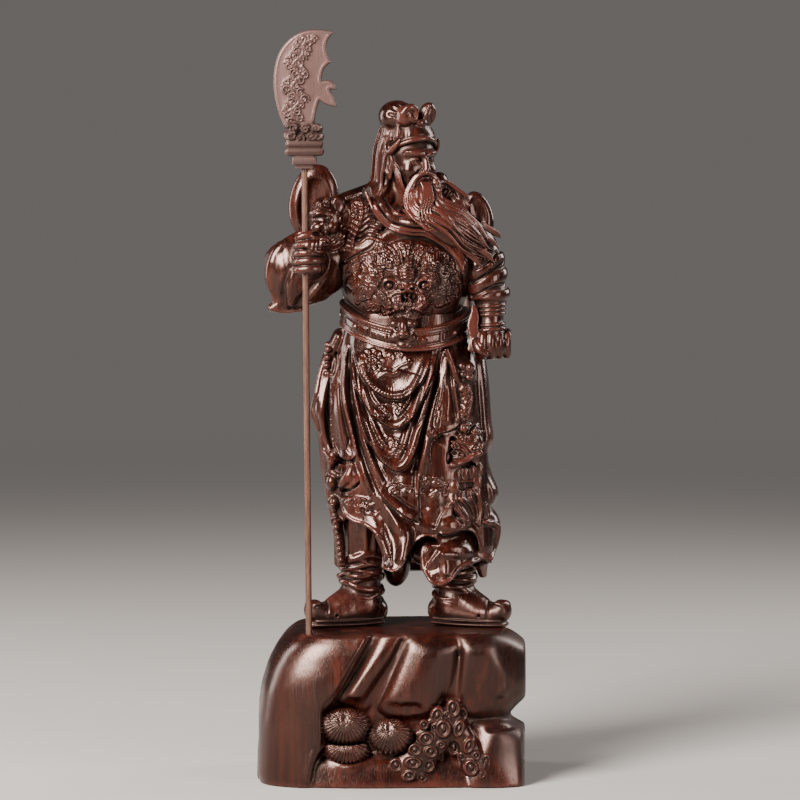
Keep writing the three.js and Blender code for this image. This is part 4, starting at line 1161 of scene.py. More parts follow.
def carveRobe():
    block = Block((-53, -43, 17), (53, robe["backAt"] + 1, 169), robe["step"])
    x, y, z = block.x, block.y, block.z
    wide = np.where(x < 0, table(robe["near"], z, 4), table(robe["far"], z, 4))
    deep = table(robe["deep"], z, 6)
    halfWidth, halfDepth = robe["half"]
    plan = np.arctan2(x / halfWidth, -y / halfDepth + 0 * x)[:, :, 0]
    parts = 720
    turns = np.linspace(-pi, pi, parts + 1)
    low = 1 - ease(block.axes[2], 30, 120)
    sides = 1 - 0.75 * ease(np.cos(turns), 0.25, 0.75)
    fold = np.cos(10 * turns + 0.6)[:, None] * (0.7 + 2.4 * low)[None, :] * sides[:, None]
    fold += (0.5 * np.cos(23 * turns + 1) * sides)[:, None]
    # the hem flares into flutes at the front
    hem = hemHeight(turns)
    flare = np.interp(robe["hemReach"] * np.sin(turns), *zip(*robe["flare"])) * ease(np.cos(turns), 0, 0.3)
    above = np.maximum(block.axes[2][None, :] - hem[:, None], -4)
    fold += flare[:, None] * np.exp(-above / 13)
    step = (plan + pi) / (2 * pi) * parts
    cell = np.clip(step.astype(int), 0, parts - 1)
    reach = mix(fold[cell], fold[cell + 1], (step - cell)[:, :, None])
    radius = np.hypot(halfWidth * np.sin(plan), halfDepth * np.cos(plan))[:, :, None]
    girth = np.hypot(x / wide, y / deep)
    body = (girth - 1) * radius - reach
    hem = hemHeight(plan)[:, :, None]
    block.put(np.maximum(body, (hem - z) * 0.8), 0)
    inner = body + robe["thickness"] + 12 * ease(z, hem + 2, hem + 20)
    block.take(np.maximum(inner, z - hem - 30), 2)
    # panels and bundles that hang over the hips
    side = (0, 1, 0)
    block.limb(
        [
            (-36, 0, 156, 9, 4), (-41, 1, 144, 9, 4.5), (-44, 0, 132, 10, 4.5), (-46.5, -1, 117, 12, 4.5),
            (-43, 0, 101, 11, 5), (-41.5, 1, 82, 10, 4.5), (-39.5, 1, 66, 8, 4)],
        1.2, side)
    block.limb([(-43, -5, 128, 3, 2.5), (-48, -6, 116, 3.4, 2.2), (-44.5, -6, 104, 3, 2.5)], 1, side)
    block.limb(
        [
            (37, 2, 152, 8, 4), (39, 0, 132, 10, 5), (41, 0, 110, 11, 4.6), (42, 0, 101, 12, 4.6),
            (39, 0, 91, 12, 4.6), (41.5, 0, 80, 12, 4.6), (45.2, -1, 71, 11, 4.2), (41, 0, 63.5, 10, 4.4),
            (46, -1, 55, 10, 4.3), (43, -1.5, 44, 9, 4.4), (40.5, -2, 36, 9, 4.2)],
        1.2, side)
    block.limb(
        [
            (-39, -9, 84, 3, 3), (-40, -9, 72, 3.4, 3), (-38, -10, 58, 3, 2.6), (-36, -11, 46, 2.8, 2.4),
            (-35, -11, 34, 2.4, 2.2)],
        0.8)
    for i, (at, radii) in enumerate((
        ((-39, -11, 92), (4.5, 6, 6)), ((-40, -10, 78), (4, 6, 5)), ((-38.5, -11, 67), (3.5, 5, 4)),
        ((-37.5, -12, 56), (3.2, 4.5, 3.4))
    )):
        block.egg(at, radii, 1, turned(0, 12 * (-1) ** i, 0))
    block.egg((-6, 12, 34), (8.5, 11, 15), 3)
    block.egg((9, -17, 43), (13, 8, 10), 2)
    block.look()
    block.raiseFront(drapery(), -14, 4)
    block.look()
    # thin edges of the turned hem
    for path in (
        [
            (-35, 73.5), (-35, 68.5), (-33, 62), (-28, 58.5), (-22.5, 57), (-17.5, 54), (-13, 49),
            (-11, 42.5), (-11.5, 36)],
        [(9.5, 32.5), (12.5, 27.5), (18, 25.5), (23.5, 28.5), (27.5, 33.5), (33.5, 36), (38.5, 37)],
    ):
        block.lay(path, 1, 0.8, 0.4)
    # deep hollows between the layers
    for path, depth, blend in (
        ([(-38.5, 88.5, 1.6), (-35.5, 89.5, 2), (-32, 88.5, 1.4)], 4, 0.8),
        ([(-34.5, 74, 0.9), (-30, 75.5, 1.3), (-26.5, 78.5, 1.5), (-24.5, 82.5, 0.9)], 3, 0.6),
        ([(22.5, 104, 1.2), (24.5, 99, 3), (23.5, 93, 3.2), (21, 88.5, 1.6)], 4.5, 1),
        ([(-37.5, 148, 0.7), (-37.5, 142, 1.5), (-38.5, 136, 0.8)], 1.8, 0.5),
        ([(25.5, 87, 1.4), (31.5, 88, 2.2), (37.5, 87, 1.4)], 4, 0.8),
        ([(25, 77.5, 1.2), (30, 76.5, 2.2), (36.5, 77.5, 1.2)], 3.5, 0.8),
        ([(24.5, 69, 1), (25.5, 62.5, 1.8), (29, 57, 1.6)], 3, 0.8),
    ):
        block.lay(path, 2, depth, blend, cut=True)
    # the curl and the small lining folds under the near hip
    block.lay([(-40.5, 89, 2), (-40, 83.5, 2.4), (-36.5, 81.5, 1.6)], 2.4, 2, 0.5)
    block.lay([(-29, 88, 2.2), (-30.5, 82.5, 3.4), (-34.5, 77.5, 2.6), (-36, 73.5, 1.2)], 3, 2.4, 0.6)
    block.look()
    for path in (
        [(-43, 146.5, 1), (-46, 136.5, 1.8), (-48, 126, 2), (-50, 115.5, 1.8), (-47.5, 106, 1)],
        [(-41.5, 136.5, 0.9), (-44, 126, 1.6), (-45.5, 115.5, 1.8), (-44.5, 105, 1.6), (-41.5, 95.5, 1)],
        [(-45.5, 103, 1.2), (-44.5, 96.5, 1.9), (-41.5, 91, 1.2)],
    ):
        block.lay(path, 1.6, 1.7, 0.5)
    block.look()
    block.raiseFront(embroidery(), -14, -2)
    trimmings(block)
    block.raiseSide(sidePatterns(), 50, 51)
    block.take(robe["backAt"] - y)
    carve("robe", block, 170000)


def trimmings(block):
    # corded borders, the jewelled pendant and its tassels
    beads = [(-40.5, 135.5), (-40.5, 127), (-40.5, 116.5), (-40.5, 106), (-39, 97.5)]
    for x, z in spline(beads, 7):
        y = block.frontOf(x, z)
        block.egg((x, y - 0.2, z), (0.75, 0.75, 0.65), 0.3)
    for i in range(12):
        z = 149 - i * 4.4
        x = float(np.interp(z, [96, 110, 122, 149], [-43.5, -45.5, -44, -42]))
        for side, y in ((0, -8), (1, -3.5)):
            block.egg((x - 0.4 * side, y, z + side * 2.2), (2, 2.2, 1.9), 0.5)
    for i in range(11):
        z = 66 - i * 3
        x = float(np.interp(z, [34, 44, 56, 70], [-35, -36, -38, -40]))
        y = block.frontOf(x, z)
        block.egg((x, y, z), (1.7 - 0.3 * (i % 2), 1.4, 1.3), 0.25)
    # knot and ornament on the far hip
    knot = (31.5, 137.5)
    y = block.frontOf(*knot)
    block.egg((knot[0], y, knot[1]), (5.4, 4.6, 6.4), 0.8)
    for dx, dy, dz, a, b, c in (
        (-2.2, -3.8, 3.2, 2.2, 1.8, 2), (2.2, -3.6, 2.2, 2, 1.7, 2.4), (-1.6, -4.2, -1.2, 2.2, 1.8, 1.7),
        (1.8, -3.8, -2.8, 2.1, 1.7, 1.9), (-2.4, -3, -4.6, 1.7, 1.5, 1.7)
    ):
        block.egg((knot[0] + dx, y + dy, knot[1] + dz), (a, b, c), 0.3)
    block.look()
    strap = [(21, 149.5), (24, 142), (26.5, 134.5), (29.5, 129.5)]
    block.lay([(x, z, 1.6) for x, z in strap], 1.6, 1.8, 0.4)
    strip = [(29.5, 129.5), (31.5, 124.5), (30.5, 118.5), (29, 112.5), (28.5, 107)]
    block.lay([(x, z, 3.8) for x, z in strip], 3.8, 2.2, 0.6, 2.4)
    block.look()
    for i, (x, z) in enumerate(spline(strip, 4)):
        y = block.frontOf(x, z)
        block.egg((x + 0.8 * (-1) ** i, y, z), (1.9, 1.5, 1.4), 0.25)
        for side in (-3.1, 3.1):
            block.egg((x + side, y + 0.5, z), (0.8, 0.9, 0.8), 0.25)
    hipClasp(block)
    leaf = [(24, 88.5), (28, 89.5), (33.5, 92), (39, 94.5)]
    block.lay([(x, z, 1.6) for x, z in leaf], 1.6, 2.6, 0.4)
    block.look()
    # lapped plates of the skirt armour below it
    for row in range(3):
        for i in range(4):
            x, z = 26 + i * 4 - 0.8 * row, 82.5 - row * 6.2 + 0.8 * i
            y = block.frontOf(x, z)
            block.egg((x, y + 0.9, z), (2.9, 1.7, 4), 0.2)
            block.lay([(x - 2, z - 2.2), (x, z - 3.3), (x + 2, z - 2.2)], 0.4, 0.4, 0.1)
    # slanting leaves on the lower far cloth, and the folds beside it
    for path in (
        [(24.5, 69, 1.6), (27, 65, 3), (30.5, 61, 2.4), (33.5, 57, 0.9)],
        [(28.5, 70.5, 1.4), (31.5, 67.5, 2.6), (34, 63, 2), (35.5, 59, 0.8)],
        [(33.5, 70.5, 1.2), (35.5, 66, 2.2), (37, 61.5, 1.8), (37, 57, 0.8)],
        [(38, 72, 1.4), (39, 64.5, 1.8), (38.5, 56, 1.2)],
        [(42, 66, 1.4), (43, 60.5, 1.8), (42.5, 56, 1.2)],
        [(41, 57, 1.2), (45, 56, 1.8), (49, 53, 1.6), (47.5, 44.5, 2), (45, 37, 1.4)],
    ):
        block.lay(path, 1.8, 2, 0.4)
        block.look()
    for path in (
        [(26, 69), (28.5, 64.5), (32.5, 59.5)], [(30, 70), (33, 65.5), (35.5, 60)],
        [(34.5, 69), (36.5, 63.5), (37, 58.5)]
    ):
        block.lay([(x, z, 0.5) for x, z in path], 0.5, 0.7, 0.2, cut=True)


def hipClasp(block):
    # scrolls over a blunt snout, on a low rounded shield
    cx, cz = (32, 99)
    y = block.frontOf(cx, cz)
    block.egg((cx, y + 1.2, cz), (8.6, 4.2, 9), 1.2)
    block.egg((cx - 5, y - 0.4, cz - 5.6), (4.2, 3.8, 3.4), 0.8)
    block.look()
    sheet = Drawing((cx - 13, cz - 13), (cx + 13, cz + 16), 0.2)
    sheet.topmost = True
    for dx, dz, radius, start, hand in (
        (2.4, 3.4, 3.9, 200, 1), (-3.4, 4.4, 3, 30, -1), (4.6, -2.6, 2.8, 120, 1), (-1.2, 9, 2.5, 60, 1),
        (5.4, 8, 2.4, 300, -1), (-6.6, -0.6, 2.2, 0, 1),
    ):
        sheet.spiral((cx + dx, cz + dz), radius, 1.5, 0.75, 1.6, start, hand, 0.85, tail=1.6)
    for path in (
        [(-8, 2), (-4, 1.4), (0, -0.6), (3.4, -5.6)], [(-8.6, -4), (-6, -1.8), (-2.4, -2.4), (0.4, -6)],
        [(-7.6, -7.6), (-4, -8.4), (0, -7.4), (4.6, -4.6), (8, -1)],
    ):
        sheet.line([(cx + dx, cz + dz) for dx, dz in path], 0.7, 1.3)
    block.raiseFront(sheet, -14, 4)
    block.egg((cx - 6.4, y - 3.4, cz - 4.6), (1, 1.2, 0.8), 0.2, cut=True)
    block.egg((cx - 3.6, y - 3.8, cz - 5), (1, 1.2, 0.8), 0.2, cut=True)
    block.look()


# Torso
torso = {
    "step": 0.45,
    "belly": ((-1, -1, 188), (35, 29, 34)),
    "beltFront": 155.4,
    "beltRise": 12,
    "beltTilt": 2.2,
    "beltHalf": (33.4, 29.4),
    "backAt": 22,
    "mask": (0, 185),
    "roundel": ((-2, 187), (31.5, 21)),
}


def beltLine(angle):
    # the belt dips at the front and rides up over the hips, the near one more
    rise = torso["beltRise"] * ease(np.abs(angle), 0, 1.9)
    return torso["beltFront"] + rise - torso["beltTilt"] * np.sin(angle)


def bossesOn(block, cx, cz):
    # adds or cuts rounded bosses on whatever lies in front of each
    def bosses(*rows, cut=False):
        for dx, dz, a, b, c, proud, blend in rows:
            y = block.frontOf(cx + dx, cz + dz) + (proud - b if cut else b - proud)
            block.egg((cx + dx, y, cz + dz), (a, b, c), blend, cut=cut)

    return bosses


def beastMask(block):
    # the forms of the beast's head in the roundel, before its lines are cut
    bosses = bossesOn(block, *torso["mask"])
    bosses((0, -2, 12, 6, 14, 2, 2.5))
    block.look()
    cheeks = [
        (10.5, 2.5, 5.6, 4, 4.6, 1.8, 1.2), (5.6, -9.5, 5, 4, 4, 2.4, 1.2), (13, 11, 4.6, 4, 4.2, 1.2, 1.2)]
    for side in (-1, 1):
        bosses(*mirrored(cheeks, side))
    bosses((0, 5, 4.8, 4.5, 7.5, 2.8, 1), (0, -1.5, 4.4, 4.5, 3.4, 2.4, 0.8), (0, -16, 6, 4, 3.6, 2.2, 1))
    block.look()
    for side in (-1, 1):
        bosses((side * 9.2, -0.8, 3.7, 3, 3, 2.2, 0.4), cut=True)
        bosses((side * 9.2, -0.8, 2.4, 3, 2.1, 0.4, 0.15))
        bosses((side * 2.6, -2.6, 1.5, 2, 1.2, 1.6, 0.3), cut=True)
    bosses((0.5, -7.8, 5.6, 5, 3.3, 4.2, 0.5), cut=True)
    block.look()
    teeth = [
        (3.9, -6, 0.9, 1.6, 2.1, 1.8, 0.15), (1.4, -5.6, 0.8, 1.4, 1.4, 1.4, 0.15),
        (2.6, -10.4, 0.8, 1.5, 1.6, 1.4, 0.15),
    ]
    for side in (-1, 1):
        bosses(*mirrored(teeth, side))


def curledLock(sheet, tip, root, hook, hand, height, width=0.62):
    # a lock of three strands in an S that ends in a hook
    tip, root = np.array(tip), np.array(root)
    run = tip - root
    length = np.linalg.norm(run)
    across = np.array([-run[1], run[0]]) / length * hand
    for shift in (-1.3, 0, 1.3):
        path = [
            root + across * shift * 0.5, root + run * 0.35 + across * (0.16 * length + shift),
            root + run * 0.7 + across * (shift - 0.08 * length),
            tip - run / length * hook * 0.2 + across * shift * 0.4, tip + across * hook,
            tip - run / length * hook * 0.8 + across * hook * 1.2]
        sheet.line(path, width, height * (1 if shift == 0 else 0.85), taper=0.35)


def chestDrawing():
    sheet = Drawing((-44, 140), (44, 240), 0.22)
    cx, cz = torso["mask"]
    middle, spread = (np.array(p) for p in torso["roundel"])
    edge = [
        (-34, 194.5), (-29, 197.5), (-22.5, 201), (-13, 204), (-5, 207), (4, 208.5), (13, 206), (21.5, 201),
        (27.5, 193.5), (29.5, 183), (27.5, 173), (21, 168.5), (12, 166.5), (0.5, 164.5), (-11.5, 165.5),
        (-23, 169), (-30, 174.5), (-34.5, 183), (-34, 194.5)]
    # the mane: rings of hooked locks, each ring over the one outside it
    sheet.topmost = True
    for ring, (reach, count, length) in enumerate(((0.96, 30, 8), (0.79, 24, 9), (0.62, 18, 8))):
        for i in range(count):
            angle = 2 * pi * (i + 0.5 * (ring % 2)) / count + 0.06 * sin(3 * i)
            out = np.array([cos(angle), sin(angle)])
            tip = middle + spread * out * (reach + 0.03 * sin(5 * i))
            root = tip - out * length * (0.8 + 0.25 * abs(out[0]))
            if hypot((root[0] - cx) / 13.5, (root[1] - cz + 1) / 13) < 1:
                root = mix(tip, root, 0.62)
            curledLock(sheet, tip, root, 1.7, 1 if (i // 2 + ring) % 2 else -1, 1.15 + 0.2 * ring)
    sheet.topmost = False
    sheet.lip(edge[::-1], 0.8, 6, 0.9, 1.6, 0.3, ends=0)
    # brows like flames, nose wings, cheeks and whiskers
    for side in (-1, 1):

        def stroke(*places, width, height, taper=0):
            sheet.line([(cx + side * dx, cz + dz) for dx, dz in places], width, height, taper=taper)

        for k in range(4):
            brow = (2.4 + k * 0.5, 3 + k * 1.7), (8, 5.6 + k * 1.6), (14 + 0.6 * k, 3.2 + k * 2.4)
            stroke(*brow, width=0.6, height=0.9)
        sheet.spiral((cx + side * 3.4, cz - 1.6), 2.5, 1.2, 0.5, 0.9, 200, side)
        stroke((2, -4.2), (6.6, -4.8), (9.6, -8), (7, -12.4), (2, -13.4), width=0.8, height=1)
        for k in range(4):
            whisker = (4.5 + k, -13 - k * 0.4), (7 + 2 * k, -16.4 - 0.3 * k), (6 + 3 * k, -19 + 0.8 * k)
            stroke(*whisker, width=0.55, height=0.8, taper=0.4)
            crest = (0.8 + 1.5 * k, 10), (0.6 + 2.5 * k, 16), (2.4 + 3.6 * k, 22 - 0.9 * k)
            stroke(*crest, width=0.6, height=0.9, taper=0.3)
        sheet.ring((cx + side * 9.2, cz - 0.8), (3.5, 3), 0.5, 0.7)
    for k in range(4):
        sheet.line(
            [(cx - 3.4, cz + 2.6 + 1.8 * k), (cx, cz + 3.5 + 1.8 * k), (cx + 3.4, cz + 2.6 + 1.8 * k)], 0.45,
            0.6)
    # the shoulder plate: flowing ribs that run off under the strap
    for k in range(8):
        top = (-12, 229.5)
        start = (top[0] - 0.4 * k, top[1] - 3.1 * k)
        sheet.line(
            [
                start, (start[0] - 6, start[1] + 1.6), (start[0] - 11, start[1] - 1.4),
                (start[0] - 15.5 - 0.2 * k, start[1] - 1 + 0.5 * k)],
            0.85, 0.8 + 0.3 * (k % 2), taper=0.35)
    for i, at in enumerate([(-20.5, 225), (-25, 216), (-18.5, 218), (-15, 223)]):
        sheet.spiral(at, 2, 1.4, 0.45, 0.8, 70 * i, 1 if i % 2 else -1)
    sheet.lip([(-30.5, 230), (-27.5, 223.5), (-28, 217), (-31.5, 209), (-33, 203)], 1.5, 2.4, 0.7, 1.4, 0.3)
    sheet.lines(
        [
            [(-25, 231.5), (-23.5, 225), (-24.5, 218), (-27.5, 210.5), (-29, 204.5)],
            [(-33.5, 228.5), (-30.5, 222.5), (-31.5, 216), (-34, 209)]],
        0.8, 1.2)
    return sheet


def carveTorso():
    block = Block((-42, -38.5, 144), (42, torso["backAt"] + 1, 244), torso["step"])
    x, y, z = block.x, block.y, block.z
    block.egg(*torso["belly"], 2)
    block.egg((0, 2, 210), (36, 22, 22), 4)
    block.limb([(-33, 1, 213, 12, 12), (0, 3, 221, 12, 14), (28, 1, 213, 12, 12)], 4, (0, 1, 0))
    block.limb([(0, 2, 226, 10, 9), (2, -3, 240, 9, 9)], 2)
    block.put(np.maximum((np.hypot((x + 1) / 32, y / 26) - 1) * 29, np.abs(z - 150) - 9), 3)
    # the coat's bulk under the arm and over the far hip
    block.egg((-29, -2, 196), (11, 16, 15), 4)
    block.egg((26, -2, 194), (11, 16, 17), 4)
    block.look()
    # shoulder plate, then the folded cloth across the chest
    block.egg((-22, -13, 219), (13, 8.5, 12), 2, turned(20, 0, 0))
    block.look()
    block.lay(
        [
            (-41, 202, 3), (-32.5, 201.5, 3.4), (-25, 202.5, 3.4), (-20, 206.5, 3), (-17.5, 213, 3),
            (-12, 218, 3.2), (-5, 221, 3)],
        3, 2.6, 1)
    block.look()
    block.lay(
        [
            (-33, 195, 2.6), (-26, 199.5, 3.2), (-17.5, 203.5, 4), (-10.5, 209.5, 4.6), (-2.5, 213, 4),
            (6, 214, 3)],
        3, 1.9, 2)
    block.look()
    block.lay(
        [(-31.5, 197, 0.8), (-24, 201, 0.9), (-18, 205.5, 0.9), (-14.5, 212, 0.9), (-8, 216, 0.8)], 0.8, 1,
        0.8, cut=True)
    block.look()
    beastMask(block)
    sheet = chestDrawing()
    block.raiseFront(sheet, -9, 2)
    # the collar band and the cords beside it
    block.look()
    collar = [
        (-15.5, 235.5), (-12.5, 227), (-7, 220.5), (1.5, 218), (10, 217), (18, 212.5), (25.5, 205.5),
        (30, 197)]
    for shift, width, rise in ((-1.2, 2.5, 4.4), (2.1, 1, 5.2), (-4.6, 1.1, 4), (-6.6, 0.9, 3)):
        path = []
        for i, (px, pz) in enumerate(collar):
            turn = radians(200 + 70 * min(i / 3, 1))
            path.append((px + shift * -cos(turn) * (1 - i / 12), pz + shift * -sin(turn)))
        block.lay(path, width, rise, 0.35)
    belt(block)
    block.take(torso["backAt"] - y)
    block.take(z - 146)
    carve("torso", block, 185000)


def belt(block):
    x, y, z = block.x, block.y, block.z
    angle = np.arctan2((x + 1) / 36, -(y + 1) / 30.5 + 0 * x)
    rise = z - beltLine(angle)
    halfWidth, halfDepth = torso["beltHalf"]
    reach = np.hypot(halfWidth * np.sin(angle), halfDepth * np.cos(angle))
    out = (np.hypot((x + 1) / halfWidth, (y + 1) / halfDepth) - 1) * reach
    cords = ((1.1, 5.2, 0.9), (0.5, 3.3, 0.5), (1.1, -5.4, 0.9), (0.5, -3.7, 0.5))
    profile = sum((high * hump(rise, at, width) for high, at, width in cords), 0.9)
    # square plates round the band, each with a stud
    plates = 0.7 * ease(np.abs(np.sin(angle * 5.5)), 0.06, 0.22) * (1 - ease(np.abs(rise + 0.2), 1.7, 2.4))
    studs = 0.9 * hump(np.cos(angle * 5.5), 0, 0.2) * hump(rise, -0.2, 1)
    distance = np.maximum(out - profile - plates - studs, np.abs(rise) - 6.2)
    block.put(distance, 0.7)
    block.look()
    # the clasp: a small beast's head with a heavy brow and a blunt nose
    bosses = bossesOn(block, -2, 160)
    bosses((0, -0.6, 7.2, 5, 8.4, 2.6, 0.6))
    block.look()
    brow = [
        (4.4, 4, 3.4, 3.2, 2.3, 1.6, 0.5), (6, 7, 2.2, 2.6, 2, 1.6, 0.4), (4.6, -3.4, 2.8, 3, 2.8, 1.3, 0.6)]
    for side in (-1, 1):
        bosses(*mirrored(brow, side))
    bosses(
        (0, 1.4, 2.6, 3.2, 4.8, 1.8, 0.7), (0, -1.6, 3.6, 3.2, 2.4, 2.6, 0.6),
        (0, -7.4, 3.8, 3, 2.2, 1.4, 0.5))
    block.look()
    holes = [(3.6, 1.4, 1.3, 1.6, 1, 1, 0.2), (1.4, -2.4, 0.7, 1.2, 0.6, 0.8, 0.2)]
    for side in (-1, 1):
        bosses(*mirrored(holes, side), cut=True)
    bosses((0, -5, 3.4, 2.4, 0.8, 1.3, 0.3), cut=True)


def hump(x, at, reach):
    return np.exp(-(((x - at) / reach) ** 2))


# Arms
arms = {"step": 0.45}


def carveRightArm():
    # the arm that grips the pole: armoured shoulder, wide sleeve and fist
    block = Block((-76, -46, 163), (-26, 22, 256), arms["step"])
    block.limb([(-30, 0, 214, 12, 11), (-38, -2, 208, 12, 12), (-43, -6, 196, 11.5, 12)], 2)
    lean = turned(0, -15, 0)
    block.egg((-42, -5, 217), (10.5, 12, 14), 1.5, lean)
    sleeve = [
        (-34, -4, 195, 11, 9), (-44, -8, 194, 16, 11), (-54, -11, 192, 18.5, 12.5),
        (-63, -13, 190.5, 17.5, 11), (-69.5, -13, 188, 12.5, 6.5)]
    block.limb(sleeve, 2.5, (0, 0, 1))
    block.limb(
        [
            (-50, -11, 184, 10, 8), (-60, -12, 178, 7, 6), (-67, -12, 173.5, 4.2, 4.2),
            (-72, -12, 171.5, 2.4, 3)],
        3, (0, 0, 1))
    block.look()
    # slack folds between the wrist and the sleeve's hanging tip
    for path, width, rise, blend, cut in (
        (
            [(-56, 211), (-63, 207), (-69, 201.5), (-72, 194), (-72.5, 185.5), (-69.5, 177)], 2.6, 0.8, 2,
            False),
        ([(-57, 195), (-62.5, 188.5), (-65, 180), (-65.5, 172)], 2.4, 1.5, 2.2, True),
        ([(-45, 189.5), (-50, 182), (-56.5, 175), (-62, 170)], 2.4, 1.5, 2, True),
        ([(-60, 191), (-62, 183.5), (-61.5, 175)], 2.2, 1.1, 2, False),
        ([(-41, 195), (-45, 186.5), (-52.5, 177)], 2, 1, 1.8, False),
        ([(-72.5, 171), (-65.5, 169.5), (-56, 170.5)], 0.9, 0.6, 0.8, False),
    ):
        block.lay(path, width, rise, blend, cut=cut)
    # gathers round the wrist, the palm and the four fingers round the pole
    for i, (x, front, z, w, h) in enumerate((
        (-51, -20, 197, 9.5, 10.5), (-51.4, -24, 198.4, 8.3, 9.4), (-51.6, -27.6, 199.4, 7.4, 8.6)
    )):
        ring = [(
            x + w * cos(a), front + 0.7 * sin(2 * a + i), z + h * sin(a), 1.5
        ) for a in np.linspace(0, 2 * pi, 17)]
        block.limb([(x, front + 6, z - 1, w, h), (x, front, z, w, h)], 1.5)
        block.limb(ring, 0.8, (0, 1, 0), perSpan=2)
    block.egg((-51, -33, 200), (7.6, 6.2, 9.8), 1.5)
    for i in range(4):
        z = 206.2 - 4.3 * i
        curl = 0.5 * cos(i * 1.1)
        finger = [
            (-44.8, -34.5, z + 0.2, 2.1), (-46.8, -39, z + 0.1, 2.2), (-51.5 - curl, -41.4, z, 2.25),
            (-56.2, -40, z - 0.4, 2.15), (-58.8, -36.5, z - 0.8, 1.9)]
        block.limb(finger, 0.35, (0, 0, 1))
        block.egg((-46.6, -39.6, z + 0.1), (1.8, 1.6, 1.95), 0.6)
        block.egg((-56.4, -40.8, z - 0.4), (1.5, 1.3, 1.75), 0.5)
    block.limb(
        [
            (-45, -30, 208, 3, 2.8), (-48, -35.5, 210.6, 2.7, 2.5), (-53, -39, 210.8, 2.5, 2.3),
            (-57.6, -38.2, 209.2, 1.9, 1.8)],
        0.6)
    block.egg((-56.6, -39.6, 210), (1.5, 0.9, 1.1), 0.3)
    shoulderBeast(block)
    fistX, fistY, fistZ = rodAt["inFist"]
    leant = block.x - fistX + rodAt["fistLean"] * (block.z - fistZ)
    block.take(np.hypot(leant, block.y - fistY) - rodAt["holeRadius"])
    carve("right_arm", block, 75000)


def shoulderBeast(block):
    # the lion's head on the shoulder guard, turned three quarters towards the fist
    block.look()
    cx, cz = (-42.5, 217)
    bosses = bossesOn(block, cx, cz)
    bosses((0, 1, 8, 6, 9, 2, 1.6))
    block.look()
    # a broad snout, heavy brow and open jaw
    bosses(
        (-3.6, -2.6, 5.6, 5, 4.2, 3.4, 1), (-3.4, 5.2, 6.2, 4, 2.4, 2.4, 0.8),
        (2.8, -2.4, 3.2, 3.4, 3.2, 1.8, 1))
    block.look()
    bosses((-7.4, 2.2, 2, 2, 1.6, 1.4, 0.3), (0.6, 2.4, 2.3, 2, 1.8, 1.6, 0.3), cut=True)
    bosses((0.6, 2.4, 1.5, 1.9, 1.2, 0.3, 0.1))
    bosses((-4, -5.4, 5.6, 3.4, 1.3, 2.8, 0.3), cut=True)
    block.look()
    bosses((-3.8, -8.4, 4.6, 3, 2, 1.8, 0.6))
    for side in (-1, 1):
        bosses(
            (-4 + side * 2, -0.6, 1.7, 1.8, 1.5, 1.1, 0.4), (-4 + side * 3.4, -4.9, 0.7, 1.3, 1.7, 1.6, 0.15))
    # curls of the mane frame the face from the brow round to the chin
    curls = [radians(118 - 27 * i) for i in range(9)]
    for a in curls:
        bosses((0.4 + 9.2 * cos(a), 0.5 + 10.4 * sin(a), 2.9, 3.2, 2.8, 1.5, 0.5))
    block.look()
    sheet = Drawing((-72, 196), (-26, 246), 0.22)
    for i, a in enumerate(curls):
        at = (cx + 0.4 + 9.2 * cos(a), cz + 0.5 + 10.4 * sin(a))
        sheet.spiral(at, 2.5, 1.5, 0.5, 1, 60 * i, 1 if i % 2 else -1)
    for k in range(3):
        brow = [
            (cx - 7.6, cz + 3.4 + 1.5 * k), (cx - 3.6, cz + 5.4 + 1.3 * k), (cx + 1.8, cz + 3.6 + 1.7 * k)]
        sheet.line(brow, 0.5, 0.8)
    for k in range(4):
        whisker = [(cx - 6.4 + 1.9 * k, cz - 9.2), (cx - 7.4 + 2.2 * k, cz - 13.4 + 0.3 * k * k)]
        sheet.line(whisker, 0.7, 0.9, taper=0.3)
    sheet.lip(
        [(cx - 13, cz - 11), (cx - 4, cz - 15), (cx + 6, cz - 14), (cx + 11, cz - 9)], 0.9, 2.5, 0.9, 1.5, 0.3
    )
    block.raiseFront(sheet, -9, -3)
    # the dished plate that caps the strap
    block.look()
    plate = (-36.5, 226)
    y = block.frontOf(*plate)
    block.egg((plate[0], y + 1.2, plate[1]), (4.6, 3.4, 6.2), 0.6)
    block.egg((plate[0], y - 2.6, plate[1] + 0.4), (3, 1.6, 4.2), 0.6, cut=True)


